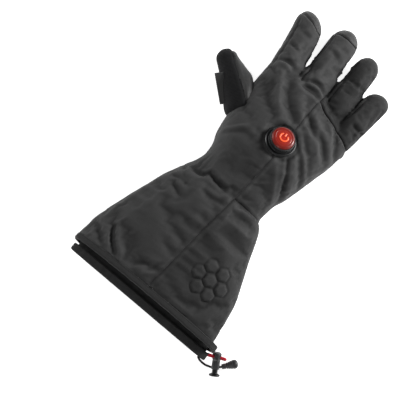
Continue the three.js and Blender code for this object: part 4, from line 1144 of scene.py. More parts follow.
    def seam_field(self, p: Array, normals: Array) -> Array:
        """Height of the seams: a pressed groove, a padded rim and puckers across it."""
        d = self.seam
        at = p[self.near_seam]
        finger = smoothstep(p[:, 1], 100, 122)
        top = smoothstep(normals[:, 2], 0.25, 0.7)
        long = top * bell(across_long(p), 5.0) * (1 - finger)
        flat = np.maximum(top, smoothstep(-normals[:, 2], 0.3, 0.8))
        wrist = bell(p[:, 1] - WRIST_Y, 4) * smoothstep(p[:, 2], 15, 25)
        depth = (1 - 0.55 * wrist) * lerp(self.groove, 0.6, finger) * (1 - 0.75 * long)
        depth = depth * lerp(0.45, 1, flat)
        height = -depth * bell(d, self.groove_width) + 0.3 * bell(d - 2.6, 1.3)
        height += long * 0.55 * bell(across_long(p) - 2.4, 1.8)
        pucker = SEAM_PUCKERS[0].at(at) + SEAM_PUCKERS[1].at(at)
        pucker = pucker * self.pucker * bell(d - 1.8, 3.0) * lerp(1, 0.7, finger)
        height += pucker * lerp(0.05, 1, flat) * (1 - 0.5 * long)
        height += CLOTH_GRAIN[0].at(p) + CLOTH_GRAIN[1].at(p)
        panel = (across_long(p) > 3) & (p[:, 2] > BACK_Z) & (p[:, 1] < -40)
        height += np.where(panel, Relief.at(p), 0)
        return height * self.calm

    def puffed(self, points: Array) -> Array:
        """Swells the skin between its seams with a cloth simulation on a coarse copy.

        Args:
            points: The folded skin, closed at the hem.

        Returns:
            The skin moved as the coarse copy moved, by no more than sim_cap.
        """
        coarse, quads = voxel_skin(points, self.faces, self.sim_voxel)
        tris = np.vstack([quads[:, [0, 1, 2, 2]], quads[:, [0, 2, 3, 3]]])
        tris = tris[tris[:, 1] != tris[:, 2]]
        cage = mesh_object("scratch_cage", coarse * MM, tris)
        cloth_skin = mesh_object("scratch_fine", points * MM, self.faces)
        follow = cloth_skin.modifiers.new("follow", "SURFACE_DEFORM")
        follow.target = cage
        with bpy.context.temp_override(object=cloth_skin, active_object=cloth_skin):
            bpy.ops.object.surfacedeform_bind(modifier=follow.name)
        x, y, z = coarse.T
        levels = (
            np.abs(across_long(coarse)) + FAR * (z < 25),
            np.abs(past_knuckles(coarse)) + FAR * ((z < 20) | (x < 14)),
            np.abs(z - FORM.side_line(y)),
            np.abs(y - WRIST_Y) + FAR * (across_long(coarse) < 0),
        )
        seat = np.hypot(x - SEAT.x, y - SEAT.y) + FAR * (z < 30)
        held = (np.min(levels, axis=0) < 2.4) | (z < 2) | (y < 3 - FORM.cuff_length) | (seat < 17)
        group = cage.vertex_groups.new(name="sewn")
        group.add(np.flatnonzero(held).tolist(), 1.0, "REPLACE")
        puff = simulated(cage, self.frames, pressure=3.0, grow=0.018)
        move = puff / MM - coarse
        length = np.linalg.norm(move, axis=1, keepdims=True)
        move *= np.minimum(1, self.sim_cap / np.maximum(length, 1e-9))
        move *= lerp(0.35, 1, np.abs(point_normals(coarse, tris)[:, 2:]))
        cage.modifiers.clear()
        cage.data.vertices.foreach_set("co", ((coarse + move) * MM).ravel())
        cage.data.update()
        swollen, _ = evaluated(cloth_skin)
        bpy.data.objects.remove(cage)
        log.info("puffed by %.2f mm at most", float(np.linalg.norm(move, axis=1).max()))
        return swollen / MM

    def panels(self) -> None:
        """Cuts the skin into its panels, each an object with its wall."""
        rest = self.rest[self.faces].mean(1)
        y = rest[:, 1] + FORM.slant(rest[:, 0], rest[:, 1])
        label = np.where(y < -FORM.cuff_length - 0.4, -1, self.label)
        for panel in Panel:
            chosen = self.faces[label == panel]
            used, points, faces = walled(self.points, chosen, self.inward * self.wall)
            node = panel.name.lower()
            obj = mesh_object("cloth_" + node, to_part(points), faces)
            shaded(obj, self.ridge[used], self.tone[used])
            finished(obj, PANEL_FINISH[panel], node)


def shaded(obj: Piece, ridge: Array = 0.0, seam: Array = NO_SEAM) -> None:
    """Stores what the materials read at each point of a mesh.

    Args:
        obj: The mesh object.
        ridge: How far a point stands on a ridge, negative in a valley; the materials paint
            highlight and shade from it.
        seam: Its distance from the nearest seam.
    """
    for name, values in (("ridge", ridge), ("seam_distance", seam)):
        layer = obj.data.attributes.new(name, "FLOAT", "POINT")
        filled = np.broadcast_to(np.asarray(values, np.float32), len(obj.data.vertices))
        layer.data.foreach_set("value", np.ascontiguousarray(filled))


def simulated(cage: Piece, frames: int, pressure: float, grow: float) -> Array:
    """Runs a cloth simulation on a closed cage whose group "sewn" stays put.

    Args:
        cage: The mesh object.
        frames: How many frames to step.
        pressure: Air pressure inside.
        grow: Share by which the cloth is cut larger than the cage, which makes it buckle.

    Returns:
        The cage's points after the last frame, in metres.
    """
    scene = bpy.context.scene
    cloth = cage.modifiers.new("cloth", "CLOTH")
    settings = cloth.settings
    settings.quality = 5
    settings.mass = 0.25
    settings.tension_stiffness = settings.compression_stiffness = 12
    settings.shear_stiffness = 4
    settings.bending_stiffness = 0.6
    settings.use_pressure = True
    settings.uniform_pressure_force = pressure
    settings.shrink_min = -grow
    settings.vertex_group_mass = "sewn"
    settings.effector_weights.gravity = 0
    cloth.collision_settings.use_collision = False
    cloth.point_cache.frame_start, cloth.point_cache.frame_end = 1, frames
    for frame in range(1, frames + 1):
        scene.frame_set(frame)
    mesh = cage.evaluated_get(bpy.context.evaluated_depsgraph_get()).to_mesh()
    points = np.empty(len(mesh.vertices) * 3)
    mesh.vertices.foreach_get("co", points)
    cage.to_mesh_clear()
    scene.frame_set(1)
    return points.reshape(-1, 3)


# ---- finishes ----
class Grain(Enum):
    """The surface that a finish shows close up."""

    WOVEN = "woven"
    LEATHER = "leather"
    KNIT = "knit"
    MOULDED = "moulded"
    BRAID = "braid"


@dataclass(frozen=True)
class Finish:
    """One material: colour in sRGB, gloss, grain, and how strongly painted highlight on ridges,
    painted shade in valleys and dark seams show in it.
    """

    name: str
    slot: str
    color: Tuple[float, float, float]
    grain: Grain = Grain.WOVEN
    cell: float = 0.55
    bump: float = 0.25
    rough: float = 0.7
    sheen: float = 0.03
    spec: float = 0.22
    mottle: float = 0.12
    # Painted light: how far the ridge attribute lightens ridges as painted highlight and darkens
    # valleys as painted shade; above 0 it also darkens the seams.
    ridge_shading: float = 0.34
    glow: float = 0.0
    coat: float = 0.0


SHELL = Finish("shell_cloth", "shell_cloth", (54, 54, 54))
# The shell cloth painted darker for the cuff's side panel: painted shade on the little finger's
# side.
SHADED_SIDE_SHELL = replace(SHELL, name="shaded_side_shell", color=(47, 47, 47))
FINGER_CLOTH = Finish("finger_cloth", "finger_cloth", (30, 30, 30), rough=0.72, ridge_shading=0.32)
HEM_CLOTH = replace(
    SHELL, name="hem_cloth", color=(44, 44, 44), bump=0.3, rough=0.78, spec=0.2, mottle=0.15,
    ridge_shading=0.5,
)
KNIT = Finish(
    "rib_knit", "knit", (24, 24, 25), Grain.KNIT, cell=1.5, bump=0.5, rough=0.92, sheen=0.04,
    spec=0.12, mottle=0.15, ridge_shading=0.4,
)
GUSSET = Finish(
    "gusset_knit", "knit", (30, 30, 31), Grain.KNIT, cell=1.2, bump=0.35, rough=0.88, sheen=0.0,
    spec=0.2, ridge_shading=0.35,
)
LEATHER = Finish(
    "palm_leather", "leather", (36, 36, 36), Grain.LEATHER, cell=1.3, bump=0.3, rough=0.55,
    sheen=0.0, spec=0.35, ridge_shading=0.6,
)
GAITER = Finish(
    "gaiter_cloth", "gaiter_cloth", (42, 42, 42), cell=0.7, bump=0.3, rough=0.85, sheen=0.02,
    spec=0.15, mottle=0.15, ridge_shading=0.5,
)
BINDING = replace(
    GAITER, name="binding_tape", color=(47, 47, 47), grain=Grain.KNIT, cell=1.1, bump=0.4
)
THREAD = Finish(
    "sewing_thread", "shell_cloth", (58, 58, 59), Grain.BRAID, cell=0.35, bump=0.3, sheen=0.0,
    spec=0.3, mottle=0.1, ridge_shading=0.0,
)
RUBBER = Finish(
    "wiper_rubber", "wiper_rubber", (50, 50, 50), Grain.MOULDED, cell=0.8, bump=0.08, rough=0.55,
    sheen=0.0, spec=0.4, mottle=0.06, ridge_shading=0.0,
)
PLASTIC = Finish(
    "black_plastic", "black_plastic", (20, 21, 22), Grain.MOULDED, cell=0.5, bump=0.05, rough=0.38,
    sheen=0.0, spec=0.5, mottle=0.05, ridge_shading=0.0,
)
TAB_PLASTIC = replace(PLASTIC, name="tab_plastic", color=(52, 52, 53), bump=0.06, rough=0.4)
LENS = replace(
    PLASTIC, name="lit_lens", slot="red_lens", color=(150, 32, 18), cell=0.9, bump=0.04,
    rough=0.34, spec=0.4, ridge_shading=0.6, glow=0.2, coat=0.25,
)
SYMBOL = replace(
    PLASTIC, name="lit_symbol", slot="red_symbol", color=(240, 96, 52), cell=0.9, bump=0.02,
    rough=0.3, mottle=0.02, glow=0.35,
)
RED_CORD = Finish(
    "red_cord", "red_cord", (172, 14, 36), Grain.BRAID, cell=0.9, bump=0.5, rough=0.75, sheen=0.1,
    spec=0.3, mottle=0.15, ridge_shading=0.0,
)
BLACK_CORD = replace(
    RED_CORD, name="black_cord", slot="gaiter_cloth", color=(32, 32, 33), cell=0.8, rough=0.8,
    mottle=0.1,
)
PANEL_FINISH = {
    Panel.BACK_MAIN_PANEL: SHELL,
    Panel.RING_LITTLE_BACK: FINGER_CLOTH,
    Panel.BACK_SIDE_PANEL: SHELL,
    Panel.CUFF_SIDE_PANEL: SHADED_SIDE_SHELL,
    Panel.PALM: LEATHER,
    Panel.PALM_HEEL: LEATHER,
    Panel.CUFF_UNDER_PANEL: HEM_CLOTH,
    Panel.INDEX_TIP_CAP: LEATHER,
    Panel.MIDDLE_TIP_CAP: LEATHER,
    Panel.FOURCHETTE_INDEX_MIDDLE: GUSSET,
    Panel.FOURCHETTE_MIDDLE_RING: GUSSET,
    Panel.FOURCHETTE_RING_LITTLE: GUSSET,
}


def linear(color: Sequence[float]) -> Tuple[float, float, float, float]:
    """An sRGB colour of 0 to 255 as linear light with alpha 1."""
    c = np.asarray(color, float) / 255
    c = np.where(c <= 0.04045, c / 12.92, ((c + 0.055) / 1.055) ** 2.4)
    return (float(c[0]), float(c[1]), float(c[2]), 1.0)


class Net:
    """A node tree under construction."""

    def __init__(self, tree: bpy.types.NodeTree) -> None:
        """Wraps a tree."""
        self.tree = tree

    def add(self, kind: str, **values: object) -> bpy.types.Node:
        """A node with its properties set, and its inputs set or linked.

        Args:
            kind: The node's type.
            values: A property's name, or in_ and an input's place or name.

        Returns:
            The node.
        """
        node = self.tree.nodes.new(kind)
        for key, value in values.items():
            if not key.startswith("in_"):
                setattr(node, key, value)
                continue
            name = key[3:]
            socket = node.inputs[int(name) if name.isdigit() else name.replace("_", " ")]
            if isinstance(value, Socket):
                self.tree.links.new(value, socket)
            else:
                socket.default_value = value
        return node

    def math(self, operation: str, a: object, b: object = 0.0, clamp: bool = False) -> Socket:
        """The output of a Math node."""
        node = self.add("ShaderNodeMath", operation=operation, use_clamp=clamp, in_0=a, in_1=b)
        return node.outputs[0]

    def plus(self, a: object, b: object) -> Socket:
        """The sum of two values."""
        return self.math("ADD", a, b)

    def times(self, a: object, b: object, clamp: bool = False) -> Socket:
        """The product of two values."""
        return self.math("MULTIPLY", a, b, clamp)

    def past_half(self, value: object) -> Socket:
        """How far a value of 0 to 1 lies over a half."""
        return self.math("SUBTRACT", value, 0.5)

    def noise(self, at: object, scale: object, detail: float) -> Socket:
        """A noise texture's value."""
        kind = "ShaderNodeTexNoise"
        return self.add(kind, in_Vector=at, in_Scale=scale, in_Detail=detail).outputs[0]

    def wave(self, way: str, at: object, scale: object, bend: float) -> Socket:
        """A wave texture's value, in bands along a way."""
        kind = "ShaderNodeTexWave"
        node = self.add(
            kind, bands_direction=way, in_Vector=at, in_Scale=scale, in_Distortion=bend
        )
        return node.outputs[1]

    def turned(self, at: object, angles: Sequence[float]) -> Socket:
        """Coordinates turned by three angles."""
        return self.add("ShaderNodeMapping", in_Vector=at, in_Rotation=angles).outputs[0]


WAVE_SCALE = 0.314  # a wave texture's scale for one band a cell
MOTTLE_SCALE = 85.0  # size of the broad mottling
BUMP_HEIGHT = 0.0003


def grain_group(kind: Grain) -> bpy.types.NodeTree:
    """The node group of a grain: Vector and Cell in, Height and Shade out, built once."""
    name = "grain_" + kind.value
    found = bpy.data.node_groups.get(name)
    if found:
        return found
    tree = bpy.data.node_groups.new(name, "ShaderNodeTree")
    ways = {"Vector": "INPUT", "Cell": "INPUT", "Height": "OUTPUT", "Shade": "OUTPUT"}
    for socket, way in ways.items():
        kind_of = "NodeSocketVector" if socket == "Vector" else "NodeSocketFloat"
        tree.interface.new_socket(name=socket, in_out=way, socket_type=kind_of)
    net = Net(tree)
    given = net.add("NodeGroupInput")
    at, cell = given.outputs["Vector"], given.outputs["Cell"]
    scale = net.math("DIVIDE", 1000.0, cell)
    bands = net.times(scale, WAVE_SCALE)
    mottling = net.noise(at, MOTTLE_SCALE, 3.0)
    fine = net.noise(at, net.times(scale, 0.6), 2.0)
    if kind is Grain.WOVEN:
        bias = net.turned(at, (0.3, 0.2, 0.785))
        height = net.times(net.wave("X", bias, bands, 0.6), net.wave("Y", bias, bands, 0.6))
        height = net.plus(height, net.times(fine, 0.5))
    elif kind is Grain.LEATHER:
        cells = net.add(
            "ShaderNodeTexVoronoi", feature="DISTANCE_TO_EDGE", in_Vector=at, in_Scale=scale
        )
        height = net.plus(net.times(cells.outputs[0], 3.2, True), net.times(fine, 0.4))
    elif kind is Grain.KNIT:
        bias = net.turned(at, (0.0, 0.0, -0.78))
        loops = net.wave("X", bias, net.times(bands, 1.7), 0.8)
        height = net.plus(net.wave("Y", bias, bands, 0.4), net.times(loops, 0.45))
    elif kind is Grain.BRAID:
        height = net.plus(net.wave("DIAGONAL", at, bands, 0.3), net.times(fine, 0.3))
    else:
        height = fine
    made = net.add("NodeGroupOutput")
    tree.links.new(height, made.inputs["Height"])
    tree.links.new(mottling, made.inputs["Shade"])
    return tree


def material_of(finish: Finish) -> bpy.types.Material:
    """The material of a finish, built once.

    Colour is the finish's own, lightened on ridges as painted highlight and darkened in valleys as
    painted shade by the piece's ridge attribute, darkened at seams by its seam distance, and
    mottled by the grain group, whose height feeds the bump.
    """
    name = "look_" + finish.name
    found = bpy.data.materials.get(name)
    if found:
        return found
    made = bpy.data.materials.new(name)
    made.use_nodes = True
    net = Net(made.node_tree)
    shader = made.node_tree.nodes["Principled BSDF"]
    where = net.add("ShaderNodeTexCoord").outputs["Object"]
    group = grain_group(finish.grain)
    grain = net.add("ShaderNodeGroup", node_tree=group, in_Vector=where, in_Cell=finish.cell)
    height, shade = grain.outputs["Height"], grain.outputs["Shade"]
    level = net.times(net.past_half(shade), 2.2 * finish.mottle)
    level = net.plus(level, net.times(net.past_half(height), 0.35 * finish.mottle))
    if finish.ridge_shading > 0:
        # Painted light: the ridge attribute lightens raised cloth as painted highlight and darkens
        # creases and hollows as painted shade.
        ridge = net.add("ShaderNodeAttribute", attribute_name="ridge").outputs["Fac"]
        level = net.plus(level, net.times(ridge, finish.ridge_shading))
        seam = net.add("ShaderNodeAttribute", attribute_name="seam_distance").outputs["Fac"]
        line = net.math("SUBTRACT", 1.0, net.times(seam, 0.8), True)
        level = net.math("SUBTRACT", level, net.times(line, 0.22))
    factor = net.math("MAXIMUM", net.plus(level, 1.0), 0.25)
    color = net.add("ShaderNodeVectorMath", operation="SCALE", in_Scale=factor)
    color.inputs[0].default_value = linear(finish.color)[:3]
    rough = net.plus(finish.rough, net.times(net.past_half(shade), 0.2))
    bump = net.add(
        "ShaderNodeBump", in_Strength=finish.bump, in_Distance=BUMP_HEIGHT, in_Height=height
    )
    links = made.node_tree.links
    links.new(color.outputs[0], shader.inputs["Base Color"])
    links.new(rough, shader.inputs["Roughness"])
    links.new(bump.outputs[0], shader.inputs["Normal"])
    shader.inputs["Sheen Weight"].default_value = finish.sheen
    shader.inputs["Sheen Roughness"].default_value = 0.5
    shader.inputs["Specular IOR Level"].default_value = finish.spec
    shader.inputs["Coat Weight"].default_value = finish.coat
    if finish.glow > 0:
        shader.inputs["Emission Color"].default_value = linear(finish.color)
        shader.inputs["Emission Strength"].default_value = finish.glow
    return made


def finished(obj: Piece, finish: Finish, *nodes: str, body: str = BODY) -> Piece:
    """Gives a piece its material and body, and hides the CAD nodes that it stands for."""
    obj.data.materials.clear()
    obj.data.materials.append(material_of(finish))
    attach(obj, body)
    if nodes:
        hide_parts(*nodes)
    log.info("%s: %s, %d faces", obj.name, finish.name, len(obj.data.polygons))
    return obj


def placed(name: str, shape: Shape, finish: Finish, *nodes: str, body: str = BODY) -> Piece:
    """A finished piece from a shape in the glove frame."""
    return finished(mesh_object(name, to_part(shape[0]), shape[1]), finish, *nodes, body=body)


# ---- sweeps and turned pieces ----
def along_path(path: Array) -> Tuple[Array, Array]:
    """Two unit vectors across a path at each point, carried along it without twist."""
    way = unit(np.gradient(path, axis=0))
    side = unit(np.cross(way, [0, 0, 1.0]) + 1e-6)
    return side, np.cross(side, way)


def swept(path: Array, wide: Array, tall: Array, columns: int, braid: float = 0) -> Shape:
    """A closed tube along a path.

    Args:
        path: (N, 3) centreline.
        wide: Half width at each point.
        tall: Half height at each point.
        columns: Points round the tube.
        braid: Share of the radius by which crossing strands stand out.

    Returns:
        Points and quads, closed at both ends.
    """
    side, high = along_path(path)
    turn = ring_angles(columns)
    wide = np.broadcast_to(wide, len(path))[:, None]
    tall = np.broadcast_to(tall, len(path))[:, None]
    twist = run_along(path)[:, None] * 1.9
    strands = np.abs(np.sin(3 * turn + twist)) * np.abs(np.sin(3 * turn - twist))
    grow = 1 + braid * (strands - 0.6)
    grid = path[:, None] + (wide * grow * np.cos(turn))[..., None] * side[:, None]
    grid = grid + (tall * grow * np.sin(turn))[..., None] * high[:, None]
    return capped(grid)


def lathed(profile: Rows, count: int, ribs: int = 0, depth: float = 0) -> Shape:
    """A turned solid round Z from [radius, height] pairs, whose ends lie on the axis.

    Args:
        profile: Radius and height, in order; ribs cut only rows marked by a third value 1.
        count: Points round the axis.
        ribs: Number of ribs.
        depth: Depth of the ribs.

    Returns:
        Points and quads facing outwards.
    """
    rows = np.array([list(row) + [0] * (3 - len(row)) for row in profile], float)
    turn = ring_angles(count)
    wave = 0.5 - 0.5 * np.cos(ribs * turn)
    radius = rows[:, 0, None] - depth * rows[:, 2, None] * smoothstep(wave, 0.35, 0.8)
    height = np.repeat(rows[:, 1, None], count, 1)
    return capped(np.stack([radius * np.cos(turn), radius * np.sin(turn), height], -1))


def rounded(corners: Rows, radius: float) -> List[List[float]]:
    """A profile with its inner corners rounded by arcs of four points each."""
    c = [np.array(p[:2], float) for p in corners]
    marks = [list(p[2:]) for p in corners]
    made = [list(corners[0])]
    for k in range(1, len(c) - 1):
        a, b = c[k - 1] - c[k], c[k + 1] - c[k]
        r = min(radius, np.linalg.norm(a) / 2.2, np.linalg.norm(b) / 2.2)
        start, stop = c[k] + a / np.linalg.norm(a) * r, c[k] + b / np.linalg.norm(b) * r
        for t in (0, 0.33, 0.67, 1):
            p = (1 - t) ** 2 * start + 2 * t * (1 - t) * c[k] + t * t * stop
            made.append([p[0], p[1]] + marks[k])
    return made + [list(corners[-1])]


def closed_band(profile_rows: Sequence[Array]) -> Shape:
    """A ring-shaped solid from rings of equal count whose last joins the first."""
    grid = np.array(profile_rows)
    rows, columns = grid.shape[:2]
    faces = tube_faces(rows + 1, columns) % (rows * columns)
    points = grid.reshape(-1, 3)
    return points, outward(points, faces)


# ---- sub-assemblies ----
THUMB_WAVES = Ripple((16, 14, 16), 0.35, 31)
THUMB_GRAIN = Ripple((2.4, 2.4, 2.4), 0.1, 33)
HEM_PUCKERS = Ripple((5, 4, 5), 1.0, 41)
GATHERS = (Ripple((4.2, 6, 4.2), 1.0, 51), Ripple((2.1, 4, 2.1), 0.5, 52))
LONG_GATHERS = Ripple((15, 20, 15), 1.1, 53)


@dataclass
class Thumb:
    """The thumb: a knit back, a leather face and the wiper blade on its outer side."""

    voxel: float = 1.15
    face_line: float = 0.3
    lean: float = math.radians(-14)
    wiper_length: float = 31
    wiper_width: float = 6.2
    wiper_thickness: float = 2.6
    wall: float = 2.0

    def build(self) -> None:
        """Makes the thumb's two panels and the blade."""
        points, faces = voxel_skin(*capped(FORM.thumb_grid(64)), self.voxel)
        edges = edges_of(faces)
        points = relaxed(points, edges, 5)
        centres, _, across = FORM.thumb_axis()
        at = centres[3] + across * self.face_line * THUMB_ROWS[3, 3] * FORM.thumb_width / 2
        normal = across * math.cos(self.lean) - np.array([0, 0, 1]) * math.sin(self.lean)
        level = (points - at) @ normal
        near = np.abs(level) < 0.56 * self.voxel
        rest = np.where(near[:, None], points - level[:, None] * normal, points)
        level = np.abs((rest - at) @ normal)
        base = np.abs(FORM.outside_body(rest))
        normals = point_normals(rest, faces)
        height = THUMB_WAVES.at(rest)
        height -= 0.8 * bell(level, 1.0) + 1.2 * bell(base, 1.6)
        height += 0.3 * bell(level - 2.7, 1.3) + 0.6 * bell(base - 4.5, 2.6)
        height += THUMB_GRAIN.at(rest)
        points = rest + normals * height[:, None]
        points[:, 2] = np.maximum(points[:, 2], 0.1)
        # The thumb's ridge measure, from which its materials paint highlight on raised cloth and
        # shade in valleys.
        raised = np.einsum("ij,ij->i", points - relaxed(points, edges, 14), normals)
        ridge = np.clip(raised / 0.5, -1, 1)
        seam = np.minimum(np.minimum(level, base), NO_SEAM)
        inward = -self.wall * unit(relaxed(point_normals(points, faces), edges, 10))
        middle = rest[faces].mean(1)
        keep = FORM.outside_body(middle) > -2.2
        face = (middle - at) @ normal > 0
        for name, chosen, finish in (("thumb_face", face, LEATHER), ("thumb_back", ~face, KNIT)):
            used, shell, quads = walled(points, faces[keep & chosen], inward)
            obj = mesh_object("cloth_" + name, to_part(shell), quads)
            shaded(obj, ridge[used], seam[used])
            finished(obj, finish, name)
        self.blade()

    def blade(self) -> None:
        """The blade: a rounded strip that tapers from its sewn root to a thin wiping lip."""
        at = np.array([-0.603 * FORM.palm_width, 0.515 * FORM.hand_length, 0.44 * FORM.palm_height])
        along = np.array([-0.732, 0.681, 0])
        along /= np.linalg.norm(along)
        out = np.array([-along[1], along[0], 0])
        u = np.linspace(-1, 1, 90)
        end = (1 - np.abs(u) ** 14) ** (1 / 6)
        turn = ring_angles(40)
        depth = squared(np.cos(turn), 0.35)
        reach = lerp(-6.5, self.wiper_width / 2 - 0.6, (depth + 1) / 2)
        thin = lerp(1.0, 0.5, smoothstep(reach, -3, 3.2)) + 0.22 * bell(reach - 1.9, 0.5)
        thick = squared(np.sin(turn), 0.5) * thin * self.wiper_thickness / 2
        notch = 1 - 0.05 * (np.cos(u * 58) > 0.86)[:, None] * (reach > 0)
        grid = at + (u * self.wiper_length / 2)[:, None, None] * along
        grid = grid + (reach * notch * lerp(0.9, 1, end)[:, None])[..., None] * out
        grid = grid + (thick * end[:, None])[..., None] * np.array([0, 0, 1])
        placed("wiper_blade", capped(grid), RUBBER, "thumb_wiper")


@dataclass
class CuffEnd:
    """The rolled hem, the gaiter inside it and the gaiter's binding."""

    hem_length: float = 6.5
    hem_thickness: float = 4.6
    flare: float = 2.9
    swell: float = 0.9
    wall: float = 3.0
    gaiter_length: float = 36
    gaiter_reach: float = 17
    gaiter_wall: float = 1.8
    clearance: float = 2.2
    binding_length: float = 6.5
    binding_thickness: float = 3.4
    binding_pad: float = 1.2
    binding_flare: float = 3.5
    binding_lip: float = 1.3
    droop: float = 11
    lip: float = 3.5
    rest: float = 3.2
    columns: int = 420

    def build(self) -> None:
        """Makes the three bands."""
        self.hem()
        start = self.end + self.gaiter_length
        binding = self.end + self.binding_length
        self.sleeve(GAITER, "gaiter", (start, binding - 1.0), self.gaiter_wall, 0.0, 0.9)
        stop, wall = self.end - self.binding_lip, self.binding_thickness + self.binding_pad
        self.sleeve(BINDING, "gaiter_binding", (binding, stop), wall, self.binding_flare, 0.7)

    @property
    def end(self) -> float:
        """Y of the gaiter's free end."""
        return -FORM.cuff_length - self.gaiter_reach

    def flared(self, section: Section, share: float) -> Section:
        """The section spread towards the little finger's side."""
        section.middle = section.middle + self.flare * share
        section.half = section.half + self.flare * share
        return section

    def hem(self) -> None:
        """A padded roll round the cuff's end, with two sewn lines and small puckers."""
        start = -FORM.cuff_length - 0.1
        turn = ring_angles(40)
        across = 0.5 - 0.5 * squared(np.cos(turn), 0.6)
        rows = []
        for share, side in zip(across, squared(np.sin(turn), 0.6)):
            inset = self.hem_thickness / 2 - self.swell - side * self.hem_thickness / 2
            if side > 0:
                inset += 0.5 * bell(share - 0.26, 0.06) + 0.4 * bell(share - 0.52, 0.05)
            y = start - self.hem_length * share
            section = self.flared(FORM.section(-FORM.cuff_length, 0), 1)
            ring = FORM.loop(section, y, self.columns)
            row = FORM.loop(self.flared(FORM.section(-FORM.cuff_length, inset), 1), y, self.columns)
            place = np.stack([ring[:, 0], 0 * ring[:, 0] + share * 3, ring[:, 2]], -1)
            wave = HEM_PUCKERS.at(place)
            centre = np.array([section.middle, y, section.seam])
            row = row + unit((row - centre) * [1, 0, 1]) * (0.5 * wave * max(side, 0))[:, None]
            row[:, 1] += 0.4 * wave * (share > 0.8)
            rows.append(row)
        self.band("cuff_hem_roll", rows, HEM_CLOTH, "cuff_hem", low=0.0)

    def band(
        self, name: str, rows: Sequence[Array], finish: Finish, node: str, low: float
    ) -> None:
        """A padded band from its rings, kept at least low above the floor."""
        points, faces = closed_band(rows)
        points[:, 2] = np.maximum(points[:, 2], low)
        obj = mesh_object(name, to_part(points), faces)
        shaded(obj)
        finished(obj, finish, node)

    def ring(self, y: float, inset: float, flare: float) -> Array:
        """One ring of the gaiter: the cuff's section drawn in, drooping to its free end."""
        start = self.end + self.gaiter_length
        draw = max(self.wall, self.hem_thickness - self.swell) + self.clearance
        section = FORM.section(max(y, -FORM.cuff_length), draw + inset - flare)
        length = FORM.cuff_length
        section = self.flared(section, float(smoothstep(-y, length, length + self.hem_length)))
        free = float(np.clip((y - start) / (self.end - start), 0, 1))
        section.top = section.top - self.droop * free
        rest = lerp(draw, self.rest, float(smoothstep(-y, length, -self.end)))
        section.floor = rest + inset - flare
        ring = FORM.loop(section, y, self.columns)
        height = section.top - section.floor
        ring[:, 1] += self.lip * free * (1 - (ring[:, 2] - section.floor) / height)
        return ring

    def sleeve(
        self,
        finish: Finish,
        node: str,
        ends: Tuple[float, float],
        wall: float,
        flare: float,
        gather: float,
    ) -> None:
        """A gathered sleeve as one closed band, out along its face and back along its bore.

        Args:
            finish: Its material.
            node: The CAD node that it stands for.
            ends: Y where it begins and where it ends.
            wall: Its thickness.
            flare: How far it is padded outwards.
            gather: Depth of the gathers, which run lengthwise.
        """
        share = np.linspace(0, 1, 22)
        bow = np.sqrt(np.clip(1 - np.abs(2 * share - 1) ** 8, 0, 1))
        rows = []
        for s, b in list(zip(share, bow)) + list(zip(share[::-1], -bow[::-1])):
            y = lerp(*ends, s)
            inset = wall / 2 - b * wall / 2
            ring = self.ring(y, inset, flare)
            away = unit(ring - self.ring(y, inset + 1, flare))
            place = np.stack([ring[:, 0], 0 * ring[:, 0] + y * 0.12, ring[:, 2]], -1)
            wave = GATHERS[0].at(place) + GATHERS[1].at(place) + LONG_GATHERS.at(place)
            rows.append(ring + away * (wave * gather * 0.6)[:, None])
        name = "gaiter_hem" if flare else "gaiter_sleeve"
        self.band(name, rows, finish, node, low=0.1)


